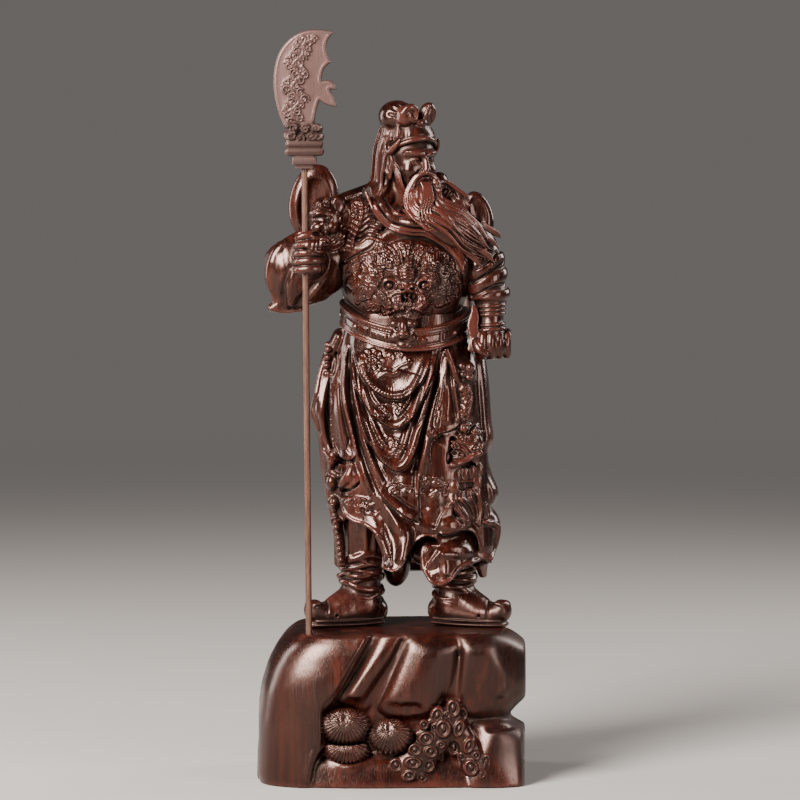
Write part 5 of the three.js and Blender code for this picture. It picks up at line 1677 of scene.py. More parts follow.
def carveLeftArm():
    # the far arm hangs with its fist closed at the belt
    block = Block((18, -32, 138), (60, 16, 226), arms["step"])
    block.limb(
        [
            (27, 0, 214, 11, 11), (35, -1, 206, 12, 12), (39.5, -3, 196, 11.2, 12), (42, -5, 187, 10.3, 11),
            (44.6, -7, 177, 9, 9.6)],
        2)
    # the sleeve's slack: broad rolls that wind down the arm at a slant
    for low, tilt, width, out in ((193.5, 0.30, 4.6, 0.3), (185.5, 0.42, 3.4, 0.5), (178.5, 0.10, 2.8, 0.9)):
        share = (196 - low) / 20
        cx, cy, rx = 39.8 + 4.8 * share, -3.2 - 3.6 * share, 10.6 - 1.9 * share
        ring = []
        for a in np.linspace(0, 2 * pi, 19):
            px = cx + (rx + out) * cos(a)
            ring.append((
                px, cy + (rx + out) * 1.03 * sin(a), low + tilt * (px - cx) + 0.5 * sin(2 * a), width, 1.6))
        block.limb(ring, 1, (0, 0, 1), perSpan=2)
    block.look()
    for path, width, rise, cut in (
        ([(51, 196.5), (46, 193), (40, 187.5), (34, 184.5)], 1.1, 1.8, True),
        ([(35, 203), (41, 200.5), (44.5, 194.5)], 2.4, 0.9, False),
        ([(53.5, 184.5), (47, 183.5), (40, 180), (34.5, 177.5)], 0.9, 1.3, True),
        ([(54, 182), (47.5, 180.5), (41, 178)], 0.5, 0.6, True),
        ([(48, 201.5), (44, 197), (37.5, 193)], 0.9, 0.7, True),
    ):
        block.lay(path, width, rise, 0.8, cut=cut)
    # the bracer with its fine rings, flared at the wrist
    block.limb(
        [
            (45, -7.6, 176, 7.6, 8.2), (45, -9.4, 168, 6.8, 7.4), (45, -10.6, 162, 6.6, 7.2),
            (45.2, -11.6, 157, 7, 7.4)],
        0.6)
    for z, w in ((172.6, 7.7), (170.4, 7.5), (168.2, 7.3), (162.6, 7.2), (160.2, 7.6)):
        t = (176 - z) / 19
        ring = [(
            45 + w * cos(a), -7.6 - 4 * t + (w + 0.4) * sin(a), z + 0.6 * cos(a), 0.8, 0.7
        ) for a in np.linspace(0, 2 * pi, 17)]
        block.limb(ring, 0.4, (0, 0, 1), perSpan=2)
    # fist: back of the hand, four curled fingers and the thumb across them
    block.egg((44.6, -12.5, 151.4), (9.6, 7.8, 7.8), 1.2)
    for i in range(4):
        x0 = 40.6 + 4.3 * i
        y0 = -17.2 + 0.75 * i * i
        finger = [
            (x0 + 0.4, y0 + 4.5, 158.2, 2.1), (x0, y0 - 1.4, 157, 2.35), (x0 - 0.2, y0 - 3.2, 151.8, 2.3),
            (x0, y0 - 1, 146.6, 2.2), (x0 + 0.2, y0 + 3.2, 145.8, 1.9)]
        block.limb(finger, 0.3)
        block.egg((x0, y0 - 2.2, 157.2), (2.1, 1.6, 1.6), 0.6)
    block.limb(
        [
            (37.4, -10, 157, 3.2, 3), (36.8, -16.4, 154.4, 2.8, 2.7), (38.4, -20.6, 150, 2.5, 2.4),
            (42.2, -21.6, 147.6, 1.9, 1.8)],
        0.5)
    # the flat strap that hangs beside the wrist, its edge in waves
    strap = [(
        35.6 + 0.5 * sin(0.9 * i), -15 - 0.3 * i, 172 - 1.9 * i, min(1.2 + 0.5 * i, 2.9), 0.9
    ) for i in range(13)]
    block.limb(strap, 0.3, (1, 0, 0), edge=4)
    carve("left_arm", block, 55000)


# Head
head = {
    "step": 0.36,
    "at": (2, -7, 250.5),
    "turn": 35,
    "bow": 7,
}
headAxes = turned(head["bow"], 0, head["turn"])


def carveHead():
    block = Block((-21, -22, -34), (20, 28, 37), head["step"])
    # skull, face and neck
    block.egg((0, 2, 3), (12.6, 14.4, 14.5), 1)
    block.egg((0, -4, -5.5), (10.4, 9.6, 13.2), 3)
    block.egg((0, -6.8, -14.5), (5.6, 5.4, 5), 3)
    block.limb([(0, 2, -10, 8.5, 8.5), (0, 4, -26, 9, 9)], 2)
    for side in (-1, 1):
        block.egg((side * 6, -8.8, -4.4), (4.1, 3.6, 3.8), 2.6)
        block.egg((side * 4.9, -12, 1.2), (3.4, 2.1, 2), 1.2, cut=True)
    # brow ridge and nose
    brow = [
        (-8.6, -8.8, 4.6, 1.5), (-4.6, -12, 5, 1.8), (0, -12.6, 4.4, 1.7), (4.6, -12, 5, 1.8),
        (8.6, -8.8, 4.6, 1.5)]
    block.limb(brow, 2.2)
    block.limb(
        [
            (0, -12.6, 3.4, 1.4, 1.7), (0, -13.9, 0.2, 1.45, 2), (0, -15.4, -3.4, 2, 2.1),
            (0, -15.2, -4.9, 2, 1.8)],
        1.2)
    for side in (-1, 1):
        block.egg((side * 2, -13.8, -5), (1.45, 1.8, 1.35), 0.6)
        block.egg((side * 1.1, -14.9, -6.2), (0.5, 0.7, 0.4), 0.2, cut=True)
    # eyes: ball, lids and the fold over them
    lid = [(2.2, -11.5, 0.6, 0.42), (3.6, -12.4, 1.75, 0.52), (5.2, -12.3, 2, 0.55), (7.5, -10.4, 0.9, 0.42)]
    lowLid = [
        (2.3, -11.5, 0.4, 0.36), (4, -12.2, -0.45, 0.44), (5.6, -11.9, -0.4, 0.44), (7.4, -10.4, 0.6, 0.36)]
    for side in (-1, 1):
        block.egg((side * 4.8, -9.5, 0.9), (2.8, 2.8, 2.4), 0.3)
        block.limb(mirrored(lid, side), 0.35)
        block.limb(mirrored(lowLid, side), 0.35)
        block.limb(
            mirrored([(2.4, -12, 2.4, 0.3), (4.8, -12.9, 3.2, 0.36), (7.7, -10.8, 2.2, 0.3)], side), 0.4,
            cut=True)
        # eyebrow of combed hairs
        for k in range(6):
            t = k / 5
            start = np.array([side * (1.5 + 6 * t), -13.9 + 3.4 * t * t, 4.3 + 1.3 * t - 0.6 * t * t])
            end = start + [side * 2.8, 1 + 0.9 * t, 1.3 - 0.9 * t]
            halfway = (start + end) / 2 + [0, -0.4, 0.25]
            block.limb([(*start, 0.8), (*halfway, 0.75), (*end, 0.3)], 0.2)
    # mouth, chin and cheeks
    block.egg((0, -13.2, -9.2), (3, 1.5, 0.95), 0.5)
    block.egg((0, -12.8, -11), (2.4, 1.5, 1), 0.5)
    block.limb([(-3.2, -13.2, -10, 0.28), (0, -14.6, -10.1, 0.32), (3.2, -13.2, -10, 0.28)], 0.2, cut=True)
    cheek = [(3.3, -13.2, -4.4, 0.5), (5.2, -12, -7.6, 0.6), (5.8, -10.8, -10.6, 0.5)]
    for side in (-1, 1):
        block.limb(mirrored(cheek, side), 1.2, cut=True)
    # ears
    rim = [(-1.4, -4.8), (-1.2, 0.4), (1.4, 3.4), (4, 1), (3.6, -3.8), (1.4, -7.4)]
    for side in (-1, 1):
        block.egg((side * 11.9, 1.2, -2.6), (1.9, 3.5, 6.2), 0.6, turned(-8, 0, side * 12))
        block.limb([(side * (12.9 + 0.12 * i), y, z, 0.75 + 0.06 * i) for i, (y, z) in enumerate(rim)], 0.3)
        block.egg((side * 14.1, 0.9, -0.9), (1.2, 1.7, 2.7), 0.4, cut=True)
        block.egg((side * 12.2, 0.8, -8.4), (1.4, 1.9, 2.6), 0.5)
    # side hair that runs into the beard, and the moustache
    for side in (-1, 1):
        for k in range(5):
            y = -2 - 1.3 * k
            lock = [
                (11.6, y, -2 - k, 0.75), (11, y - 1.2, -8 - 0.8 * k, 0.95),
                (9.4 - 0.3 * k, y - 2.6, -14 - 0.5 * k, 1.05), (7.8 - 0.6 * k, y - 4.2, -20, 0.8),
            ]
            block.limb(mirrored(lock, side), 0.3)
        for k in range(4):
            drop = 0.8 * k
            lock = [
                (0.6, -15, -7.6 - 0.2 * k, 0.6), (2.7 + 0.2 * k, -14.9 + 0.2 * k, -7.9 - drop, 0.8),
                (5.2 - 0.1 * k, -13.2, -10.6 - drop, 0.85), (6.8 - 0.4 * k, -12.4, -15.5 - drop, 0.75),
                (6.3 - 0.9 * k, -13.6, -21.5 - drop, 0.4),
            ]
            block.limb(mirrored(lock, side), 0.2)
    headCloth(block)
    carve("head", block, 95000, headAxes, head["at"])


def headCloth(block):
    # the close cap, and its rim from the forehead down behind the ears
    x, y, z = block.x, block.y, block.z

    def rimAt(back):
        return 6 - 0.55 * back

    dome = (np.sqrt((x / 13.8) ** 2 + ((y - 2.6) / 15.6) ** 2 + ((z - 9) / 14.6) ** 2) - 1) * 13.8
    block.put(np.maximum(dome, (rimAt(y) - z) * 0.87), 0.2)
    edge = []
    for a in np.linspace(-2.6, 2.6, 19):
        back = 2.6 - 15 * cos(a)
        edge.append((13.4 * sin(a), back, rimAt(back), 1.15))
    block.limb(edge, 0.25)
    block.limb([(x0 * 1.01, y0 * 1.01, z0 + 2.2, 0.6) for x0, y0, z0, _ in edge], 0.6, cut=True)
    # the cloth pulls back from the temple to the gathered top
    for i in range(7):
        a = radians(-150 + i * 17)
        path = [
            (13.6 * sin(a), 2.6 - 15.2 * cos(a), 13), (11.9 * sin(a) - 0.6, 2.8 - 12.6 * cos(a), 18),
            (7.4 * sin(a) - 3, 4.5 - 6 * cos(a), 22)]
        block.limb([(*p, 0.8) for p in path], 1.8, cut=i % 2 == 0)
    for side in (-1, 1):
        # a leaf of cloth curls over the temple
        curl = [
            (12.6, -6.4, 11.4, 0.8), (13.9, -3.8, 7.2, 1.5), (14.3, -0.6, 4.4, 1.7), (14.5, 2.2, 6.6, 1.5),
            (14.2, 1.6, 10.4, 1.3), (14.1, -0.8, 11, 0.9)]
        block.limb(mirrored(curl, side), 0.35)
        block.egg((side * 15, 0.2, 7.6), (1.2, 1.5, 2.3), 0.3, cut=True)
    # the bun with its wraps, the rolled loop and the leaf before it
    block.egg((-6.3, 6.4, 22.4), (10.2, 9.4, 8.6), 1.2)
    block.egg((-7.6, -3, 23.6), (5.4, 5.6, 5.8), 1)
    for tilt, depth in ((0.25, 0.9), (0.75, 0.8), (1.2, 0.6)):
        ring = []
        for a in np.linspace(-2.6, 0.6, 12):
            ring.append((
                -6.3 + 10.3 * cos(a) * cos(tilt), 6.4 + 9.5 * sin(a), 22.4 + 8.7 * abs(cos(a)) * sin(tilt),
                depth))
        block.limb(ring, 0.9, cut=True)
    roll = [
        (-11.4, -4.4, 21.4, 1.2), (-11.2, -5.6, 25.4, 1.7), (-8.2, -6.8, 28.8, 2), (-4.6, -7.2, 27.8, 1.9),
        (-3.6, -7.4, 24.2, 1.7), (-5.4, -8, 21.8, 1.4), (-7.4, -8.4, 22.8, 1.1)]
    block.limb(roll, 0.6)
    block.egg((-2.6, -6.6, 24), (1.2, 2.6, 3), 0.5, cut=True)
    lean = turned(8, 8, 0)
    block.egg((4.6, -5.6, 24.8), (5, 4, 6.8), 0.8, lean)
    block.egg((6.6, -9.4, 24.4), (2, 1.6, 4.4), 1.2, lean, cut=True)
    block.limb([(1.4, -7.4, 20.4, 0.7), (1.2, -9, 25, 0.9), (3.4, -8.6, 30.2, 0.7)], 0.5)
    block.egg((-0.6, -8, 20.8), (3.4, 2.2, 2.2), 1)
    # the cloth that falls close round the nape and spreads over the shoulder
    nape = [
        (-4.5, 9.5, 12, 9.5, 8), (-7, 9.8, 3, 9.2, 8), (-7.8, 9.6, -8, 8.8, 8), (-8.6, 9, -16, 9, 8),
        (-11.5, 8, -22, 11, 8), (-16, 6, -28, 13, 7), (-19, 5, -33, 14, 6)]
    block.limb(nape, 1.5, flutes=(9, 0.07))
    block.limb(
        [
            (2, 9, 12, 11, 8.5), (2.5, 11, 2, 11.5, 8), (2, 12, -10, 11, 8), (1, 13, -22, 12, 8),
            (-1, 13, -33, 15, 7)],
        2, flutes=(8, 0.09))
    for k in range(5):
        block.limb(
            [(-6 + 4 * k, 18.2, 8, 0.8), (-7 + 4.4 * k, 19.8, -6, 1), (-9 + 5 * k, 20.6, -22, 0.8)], 1.4,
            cut=k % 2 == 0)
    for k in range(4):
        fold = [
            (-13.6 + 1.6 * k, 3.6 + 4.2 * k, 6), (-15.4 + 1.8 * k, 3.4 + 4.4 * k, -6),
            (-16 + 1.8 * k, 3 + 4.4 * k, -15), (-20 + 2.4 * k, 0.6 + 4.2 * k, -24)]
        block.limb([(*p, 0.9) for p in fold], 1.2, cut=k % 2 == 1)


# Beard and hair
beard = {
    "step": 0.36,
    "locks": 16,
    "lower": spline(
        [
            (0.5, -17.5, 237.5), (-1.6, -20.5, 230), (-0.8, -24.5, 223.5), (5, -28, 219),
            (13, -29.2, 215.5), (20, -28.2, 210), (27, -25.8, 203.6), (35, -22.4, 199),
            (41.5, -19.5, 196.5)],
        8),
    "upper": spline(
        [
            (13.5, -15.5, 239), (16.5, -17, 234.5), (20, -18.6, 231), (25.5, -20, 227.5), (32, -20.2, 223),
            (38.5, -19.2, 217), (43, -17.5, 211.5), (45.5, -15.5, 208), (47, -14, 205)],
        8),
    "moustache": (
        (
            (9.4, -20.8, 243.4), (5.6, -21.2, 241.8), (2.6, -21.4, 237.5), (0.6, -23.2, 231.5),
            (1.4, -26.6, 224.5), (6, -30.6, 218.5), (13, -32.4, 213)),
        (
            (10.9, -20.4, 243.4), (14.4, -18, 241.4), (16, -18.6, 236.4), (16.8, -21.6, 229.5),
            (21, -25.2, 223), (28.5, -26.8, 217.5), (36, -24.4, 210)),
    ),
}


def beardPath(share, t):
    # share 0 is the lowest lock and 1 the highest, t runs from the chin to the tip
    lower, upper = beard["lower"], beard["upper"]
    at = t * (len(lower) - 1)
    i = int(min(at, len(lower) - 2))
    low, high = mix(lower[i], lower[i + 1], at - i), mix(upper[i], upper[i + 1], at - i)
    p = mix(low, high, share)
    bulge = 5.4 * sin(pi * min(1, 0.06 + share * 0.94)) * (1 - 0.5 * t) * ease(t, -0.04, 0.09)
    return np.array([p[0], p[1] - bulge, p[2]])


def carveBeard():
    block = Block((-14, -38, 186), (54, -6, 252), beard["step"])
    # the mass under the locks
    block.limb(
        [
            (8, -16.5, 234.5, 6, 3.2), (6.5, -21.5, 227, 7, 3.4), (13, -24.5, 221, 8, 3),
            (25, -22.5, 214, 9.5, 3), (38, -18, 205.5, 5.5, 2.2)],
        1, (0.7, 0, 0.7))
    for k in range(beard["locks"]):
        share = (k + 0.5) / beard["locks"]
        reach = 0.88 + 0.12 * sin(k * 2.4)
        lift = 0.6 + 0.8 * sin(k * 1.9)
        for strand in range(4):
            side = strand - 1.5
            path = []
            for t in np.linspace(0, reach, 26):
                gather = 1 - 0.8 * ease(t, 0.45 * reach, reach)
                wave = 0.055 * sin(12 * t + 0.5 * k) * ease(t, 0.03, 0.3)
                p = beardPath(float(np.clip(share + 0.016 * side * gather + wave, 0, 1)), float(t))
                rise = lift * ease(t, 0.02, 0.3) + 0.25 * (2 - abs(side)) + 0.4 * sin(7 * t + k * 2.3)
                size = (0.35 + 0.65 * ease(reach - t, 0, 0.3)) * (0.75 + 0.25 * ease(t, 0, 0.2))
                path.append((p[0], p[1] - rise, p[2] + 0.4 * sin(15 * t + k), 0.72 * size))
            block.limb(path, 0.08, perSpan=1)
    # loose tips that leave the mass
    for at, to, end in (
        ((36, -22, 212), (43, -19, 207), (49, -15, 204)), ((34, -24, 205), (41, -21, 200), (46.5, -18, 196)),
        ((27, -26, 205), (34, -24, 198.5), (39.5, -21, 193.5)),
        ((40, -18, 215), (46, -15, 211), (50, -12, 209)),
    ):
        for k in range(3):
            block.limb(
                [(at[0], at[1], at[2] + k, 0.8), (to[0] + k, to[1], to[2] + 0.6 * k, 0.7), (*end, 0.3)], 0.2)
    # the moustache droops into the beard, and a tuft starts under the lip
    for way, path in zip((-1, 1), beard["moustache"]):
        for k in range(5):
            hair = []
            for i, (px, py, pz) in enumerate(path):
                fan = (k - 2) * (0.25, 0.5, 0.9, 1.2, 1.5, 1.7, 1.9)[i]
                hair.append((
                    px - way * 0.75 * fan, py - 0.5 + 0.25 * abs(k - 2),
                    pz - 0.2 * fan + 0.4 * sin(i * 1.7 + k), 0.66 - 0.05 * i))
            block.limb(hair, 0.12)
    for k in range(5):
        side = (k - 2) / 2
        chinTuft = [
            (9.8 + 2.2 * side, -20.6 + 0.8 * side, 238.4), (11 + 2 * side, -23.4, 234.6),
            (11.2 + 2.6 * side, -27.6, 229), (9.4 + 3 * side, -30.4, 223.5), (12 + 4.5 * side, -32, 218),
            (19 + 6 * side, -32.2, 213)]
        block.limb([(px, py, pz, 0.8 - 0.1 * i) for i, (px, py, pz) in enumerate(chinTuft)], 0.1)
    # hair gathered behind the far cheek
    for at, radii in (((20, 0, 233), (8, 8, 6.5)), ((27, -1, 226), (8, 8, 7.5)), ((17, -6, 239), (5, 6, 5))):
        block.egg(at, radii, 1.6)
    block.look()
    for i in range(6):
        a = 2.4 - 0.42 * i
        path = [
            (13.5 + 1.4 * i, 240 - 1.9 * i), (20 + 5 * cos(a), 233 + 6 * sin(a)),
            (27 + 6.4 * cos(a - 0.9), 227 + 6.6 * sin(a - 0.9))]
        block.lay(path, 1, 0.9, 0.6)
    carve("beard", block, 95000)


# Cape and loose cloth behind
cape = {"step": 0.75}


def carveCape():
    block = Block((-68, -8, 22), (50, 45, 258), cape["step"])
    block.limb(
        [
            (-2, 12, 242, 14, 6), (-1, 17, 232, 22, 6.5), (0, 21, 221, 27, 7), (0, 25, 205, 32, 7.5),
            (0, 28, 150, 37, 8), (0, 30, 90, 40, 9), (0, 31, 50, 38, 8.5), (0, 31, 32, 37, 7)],
        2)
    block.limb(
        [(-33, 4, 228, 6, 5), (-22, 4, 232, 7, 5), (-11, 5, 236, 7, 5), (0, 9, 238, 8, 6)], 2, (0, 1, 0))
    block.limb([(-40, 6, 220, 8, 6), (-28, 14, 222, 9, 7), (-14, 18, 228, 9, 7)], 3, (0, 0, 1))
    block.limb([(38, 4, 212, 8, 6), (26, 14, 218, 9, 7), (12, 18, 226, 9, 7)], 3, (0, 0, 1))
    # folds that spread from the shoulders to the hem
    for i in range(11):
        share = (i - 5) / 5
        top = (share * 18, 26.5 - 6 * share * share, 224)
        waist = (share * 29, 36.2 - 8 * share * share, 150)
        low = (share * 36, 38.6 - 9.5 * share * share, 80)
        foot = (share * 36 + 1.5 * sin(i * 2), 38.4 - 9 * share * share, 30)
        width = 2.6 + 0.8 * sin(i * 1.9)
        block.limb(
            [
                (*top, 0.6, 0.6), (share * 21, 31.6 - 7 * share * share, 206, 1.4, 1.4), (*waist, width, 2),
                (*low, width + 0.8, 2.6), (*foot, width + 1.2, 3)],
            2.5)
    # leaf of cloth that stands behind the near shoulder
    lean = turned(0, 8, 0)
    block.egg((-50, 8, 227), (13.5, 6, 21), 1, lean)
    block.egg((-50, 0, 226), (9.8, 8, 17.5), 0.8, lean, cut=True)
    block.egg((-42, 10, 214), (8, 6, 12), 2)
    # ribbon end over the far shoulder
    block.egg((38.5, -1, 221), (7.5, 4.6, 13), 1, turned(0, -18, 0))
    block.egg((38.2, -6.4, 223), (4.6, 3.2, 10), 0.8, turned(0, -18, 0), cut=True)
    block.egg((35, 4, 214), (9, 7, 9), 2)
    carve("cape", block, 35000)


# Blade and rod
rodAxes = turned(0, -rodAt["lean"], 0)
bladeShift = np.array(rodAt["foot"]) + rodAt["headAbove"] * rodAxes[2]
# paler wood for the blade: its recesses take stronger painted shade, and its ridges a paler tone that is part
# wear and part painted highlight
bladeWood = ebony(
    "paler ebony", (0.006, 0.0025, 0.0025), (0.024, 0.0105, 0.0098), (0.056, 0.027, 0.024),
    (0.13, 0.081, 0.074),
    shine=0.34, coat=0.15, streakWidth=0.8, seed=7, recessShadeStrength=1.6, ridgeWearAndHighlightStrength=0.8, bump=0.3,
)
blade = {
    "step": 0.36,
    # runs round the blade from its start: one point is a straight stretch, more are a curve
    "start": (-10, 21),
    "outline": [
        [(-16, 33), (-17.5, 46), (-14.5, 57)], [(-12, 66), (-4, 72.5), (4, 73)], [(11, 73.4), (16.5, 71.6)],
        [(8.5, 65), (14.8, 55.8)], [(9.5, 53.5), (9.4, 46)], [(16, 48), (17.5, 41.5)], [(13.6, 41.6)],
        [(16.6, 37), (17.5, 32.4)], [(12, 32.6), (8.4, 36)], [(5.6, 30), (5.4, 21)], [(5, 16)], [(-9, 16)],
    ],
    "halfThick": 2.1,
}


def bladeOutline():
    points = [np.array(blade["start"], float)]
    for run in blade["outline"]:
        ends = [points[-1], *np.array(run, float)]
        for t in np.linspace(0, 1, 12) if len(run) > 1 else [1]:
            row = ends
            while len(row) > 1:
                row = [mix(a, b, t) for a, b in zip(row[:-1], row[1:])]
            points.append(row[0])
    return np.array(points)


def flatDistance(path, x, z):
    # distance to a closed outline over a sheet, below zero inside it
    best = np.full((x.size, z.size), 1e3)
    crossings = np.zeros(best.shape, int)
    for a, b in zip(path, np.roll(path, -1, 0)):
        run = b - a
        if run @ run < 1e-9:
            continue
        t = np.clip(((x - a[0]) * run[0] + (z - a[1]) * run[1]) / (run @ run), 0, 1)
        best = np.minimum(best, np.hypot(x - a[0] - t * run[0], z - a[1] - t * run[1]))
        spans = (a[1] > z) != (b[1] > z)
        with np.errstate(divide="ignore", invalid="ignore"):
            hit = x < a[0] + (z - a[1]) * run[0] / run[1]
        crossings += spans & hit
    return np.where(crossings % 2 == 1, -best, best)


def bladeScroll():
    # a dense scrolling cloud relief that climbs the middle of the blade
    sheet = Drawing((-20, 14), (20, 76), 0.15)
    sheet.topmost = True
    stem = [
        (-3, 23), (-6.5, 30), (-2.5, 36), (-6.5, 43), (-2, 49), (-5.5, 55), (-0.5, 60), (0, 65.5), (5, 68)]
    sheet.line(stem, 1, 1.1)
    path = spline(stem, 4)
    for i, (x, z) in enumerate(path[1:-1]):
        side = 1 if i % 2 else -1
        sheet.spiral(
            (x + side * 2.8, z + 0.6), 2.2 + 0.5 * sin(2.1 * i), 1.5, 0.46, 1.2, 90 + 90 * side + 25 * i, side
        )
        sheet.ring((x - side * 2.2, z + 1.3), (1.5, 1.1), 0.42, 0.9)
        sheet.line([(x, z), (x - side * 2.6, z + 1.8), (x - side * 4.8, z + 0.6)], 0.6, 0.9, taper=0.5)
    return sheet


def carveBlade():
    block = Block((-19, -6.2, -0.6), (19, 6.2, 74.6), blade["step"])
    x, y, z = block.x, block.y, block.z
    sheet = flatDistance(
        bladeOutline(), block.axes[0][:, None].astype(float), block.axes[2][None, :].astype(float))
    # thickest along the spine and ground down to the cutting edge
    ground = blade["halfThick"] * np.sqrt(np.clip(
        1 - ((x - 6) / 25) ** 2 - ((z - 46) / 36) ** 2 * 0.6, 0.02, 1))
    rounding = 0.9 * np.clip(1 + sheet / 1.6, 0, 1) ** 2
    block.put(np.maximum(sheet[:, None, :] * 0.9, np.abs(y) - ground + rounding[:, None, :]), 0)
    field = ease(-sheet, 1.2, 2.2)[:, None, :]
    relief = bladeScroll().at(block.axes[0], block.axes[2])[:, None, :]
    block.field -= field * (relief - 0.25) * ease(z, 24, 27)
    # the stepped socket and the swelled block above it
    for halfWidth, halfDepth, low, high, soft in (
        (4.9, 3.8, 0, 2.4, 0.6), (6.4, 4.4, 2.2, 6.2, 0.7), (5.4, 4, 5.6, 7.4, 0.6)
    ):
        box = np.maximum(
            np.maximum(np.abs(x) - halfWidth, np.abs(y) - halfDepth),
            np.abs(z - (low + high) / 2) - (high - low) / 2)
        corner = np.hypot(
            np.maximum(np.abs(x) - halfWidth + soft, 0), np.maximum(np.abs(y) - halfDepth + soft, 0)) - soft
        block.put(np.maximum(box, corner), 0.25)
    for at, halfWidth, halfDepth in ((9, 10.4, 5), (13, 10, 4.8)):
        past = [np.abs(axis) - half for axis, half in ((x, halfWidth), (y, halfDepth), (z - at, 2.3))]
        corner = np.sqrt(sum(np.maximum(p + 2.2, 0) ** 2 for p in past)) - 2.2
        block.put(np.maximum(corner, np.maximum(np.maximum(past[0], past[1]), past[2])), 0.2)
    # the cloud that holds the blade's root
    clouds = (
        (-7, 17.6, 4.2), (-1.6, 16.4, 3.6), (3.6, 17.2, 4), (7.4, 16.8, 3.2), (-5, 21.4, 3.8),
        (0.8, 20.8, 3.8), (6.6, 21, 3.4), (-8.4, 22.8, 2.2))
    for dx, dz, r in clouds:
        block.egg((dx, 0, dz), (r, 4.2 + 0.12 * r, r * 0.85), 0.6)
    caps = Drawing((-14, 10), (14, 30), 0.15)
    for i, (dx, dz, r) in enumerate(clouds):
        caps.spiral((dx, dz), r * 0.72, 1.4, 0.55, 0.9, 90 + 140 * i, 1 if i % 2 else -1)
    for side in (-1, 1):
        caps.lines(
            [[
                (side * 9.6, 15 + 1.1 * k), (side * 5.5, 14.4 + 1.2 * k), (side * 2, 15.6 + 1.2 * k)
            ] for k in range(2)],
            0.5, 0.7)
    relief = caps.at(block.axes[0], block.axes[2])[:, None, :]
    block.field -= relief * ease(np.abs(y), 2.6, 3.8) * ease(z, 14.2, 15.4)
    block.take(np.maximum(np.hypot(x, y) - 1.85, z - 12))
    block.take(z - 0.02)
    carve("blade", block, 50000, rodAxes, bladeShift, rockOrigin, bladeWood, "pole_arm_blade")


def turnRod():
    # a slim stick, planed by hand: never quite round nor straight-sided
    rings, sides = 100, 16
    z = np.linspace(-5.6, rodAt["headAbove"] + 11.6, rings + 1)[:, None]
    a = 2 * pi * np.arange(sides) / sides
    r = rodAt["radius"] * (1 + 0.012 * np.sin(3 * a + z / 9) + 0.01 * np.sin(z / 5.3)) - 0.04
    r[[0, -1]] -= 0.25
    points = np.stack([r * np.cos(a), r * np.sin(a), z + 0 * a], 2).reshape(-1, 3)
    points = np.vstack([points, [(0, 0, z[0, 0]), (0, 0, z[-1, 0])]])
    top, last = rings * sides, len(points) - 1
    pairs = [(k, (k + 1) % sides) for k in range(sides)]
    faces = [(i + a, i + b, i + b + sides, i + a + sides) for i in range(0, top, sides) for a, b in pairs]
    faces += [(b, a, last - 1) for a, b in pairs] + [(top + a, top + b, last) for a, b in pairs]
    mesh = makeMesh("rod", rockOrigin + mm * (points @ rodAxes + np.array(rodAt["foot"])), faces)
    mesh.polygons.foreach_set("use_smooth", np.ones(len(mesh.polygons), bool))
    for label in ("hollow", "proud"):
        mesh.attributes.new(label, "FLOAT", "POINT")
    rod = addObject("rod", mesh)
    rodWood = ebony(
        "rod wood", (0.008, 0.003, 0.0025), (0.040, 0.017, 0.012), (0.12, 0.06, 0.036), (0.07, 0.035, 0.024),
        shine=0.46, coat=0.1, streakWidth=0.3, seed=11, ridgeWearAndHighlightStrength=0.6, bump=0.6,
    )
    finishPiece(rod, "pole_arm_rod", rodWood)


carveRock()
carvePine()
carveBoots()
carveRobe()
carveTorso()
carveRightArm()
carveLeftArm()
carveHead()
carveBeard()
carveCape()
carveBlade()
turnRod()

# Stage
camera = addObject("camera", bpy.data.cameras.new("camera"))
bpy.context.scene.camera = camera
shot = {"aim": (0.0048, 0, 0.2025), "distance": 2.15, "elevation": 4, "lens": 180}
raised = radians(shot["elevation"])
camera.data.lens = shot["lens"]
camera.data.sensor_width = 36
camera.data.clip_start = 0.05
aim = np.array(shot["aim"])
camera.location = aim + shot["distance"] * np.array([0, -cos(raised), sin(raised)])
camera.rotation_euler = (pi / 2 - raised, 0, 0)

studio = {
    "grey": (0.142, 0.132, 0.127),
    "glow": 1,
    "bounce": 0.35,  # the share of the backdrop's glow that lights the carving
    "floor": (0.34, 0.325, 0.31),
    "floorReach": 60,
    "floorFades": (0.5, 2.4),  # metres from the middle over which the floor turns into the backdrop's grey
}


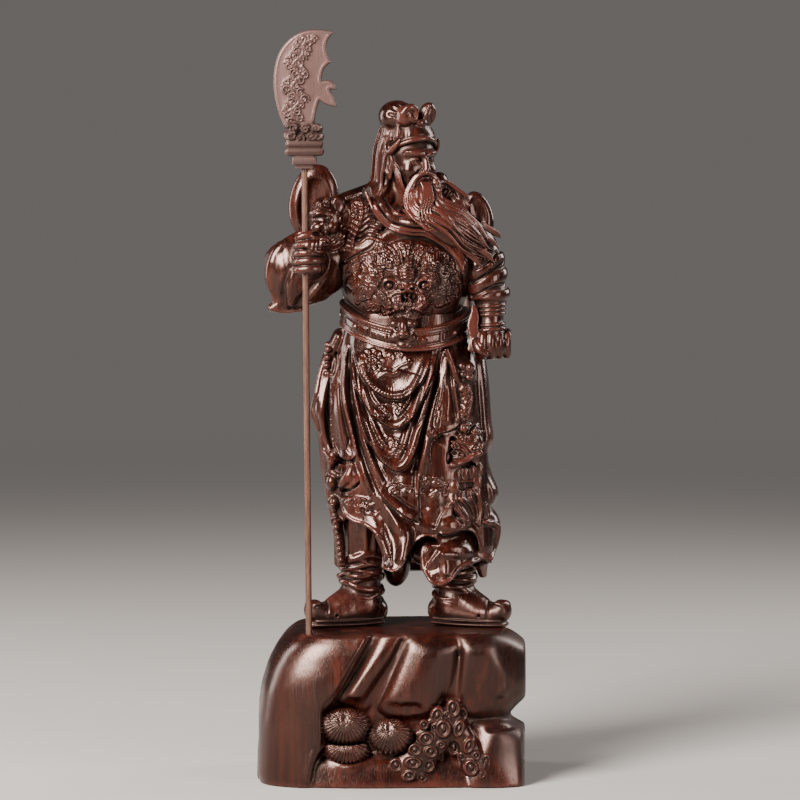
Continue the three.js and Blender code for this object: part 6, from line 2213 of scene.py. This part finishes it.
def layFloor():
    corners = studio["floorReach"] * np.array([(-1, -1, 0), (1, -1, 0), (1, 1, 0), (-1, 1, 0)])
    mesh = makeMesh("floor", corners, [(0, 1, 2, 3)])
    floor = addObject("floor", mesh)
    paper, tree, shader = newMaterial("pale floor")
    place = node(tree, "TexCoord").outputs["Object"]
    away = node(tree, "VectorMath", {0: place}, operation="LENGTH").outputs["Value"]
    near, far = studio["floorFades"]
    ends = {"Value": away, "From Min": near, "From Max": far}
    fade = node(tree, "MapRange", ends, interpolation_type="SMOOTHSTEP").outputs[0]
    black = (0, 0, 0)
    fill(tree, shader, {
        "Base Color": blendColour(tree, fade, studio["floor"], black),
        "Emission Color": blendColour(tree, fade, black, tuple(v * studio["glow"] for v in studio["grey"])),
        "Emission Strength": 1,
        "Roughness": 0.9,
        "Specular IOR Level": 0,
    })
    mesh.materials.append(paper)


def softLight(name, place, size, power, colour, target=(0, 0, 0.2)):
    data = bpy.data.lights.new(name, "AREA")
    data.shape = "RECTANGLE"
    data.size, data.size_y = size
    data.energy = power
    data.color = colour
    lamp = addObject(name, data)
    lamp.location = place
    run = np.array(target) - np.array(place)
    lamp.rotation_euler = (acos(-run[2] / np.linalg.norm(run)), 0, atan2(-run[0], run[1]))


layFloor()
softLight("key", (-0.85, -1, 0.95), (0.65, 0.95), 120, (1, 0.93, 0.88))
softLight("fill", (1.1, -0.9, 0.45), (0.45, 0.9), 14, (1, 0.95, 0.93))
softLight("rim", (0.9, 0.55, 0.7), (0.35, 0.8), 10, (1, 0.95, 0.92))
softLight("rim left", (-1, 0.35, 0.45), (0.3, 0.8), 8, (1, 0.95, 0.92))

world = bpy.data.worlds.new("studio")
bpy.context.scene.world = world
world.use_nodes = True
sky = world.node_tree
seen = node(sky, "LightPath").outputs["Is Camera Ray"]
strength = node(sky, "MapRange", {"Value": seen, "To Min": studio["bounce"], "To Max": studio["glow"]})
fill(sky, sky.nodes["Background"], {"Color": (*studio["grey"], 1), "Strength": strength.outputs[0]})

print("triangles in all:", sum(triangleCount(obj) for obj in pieces))
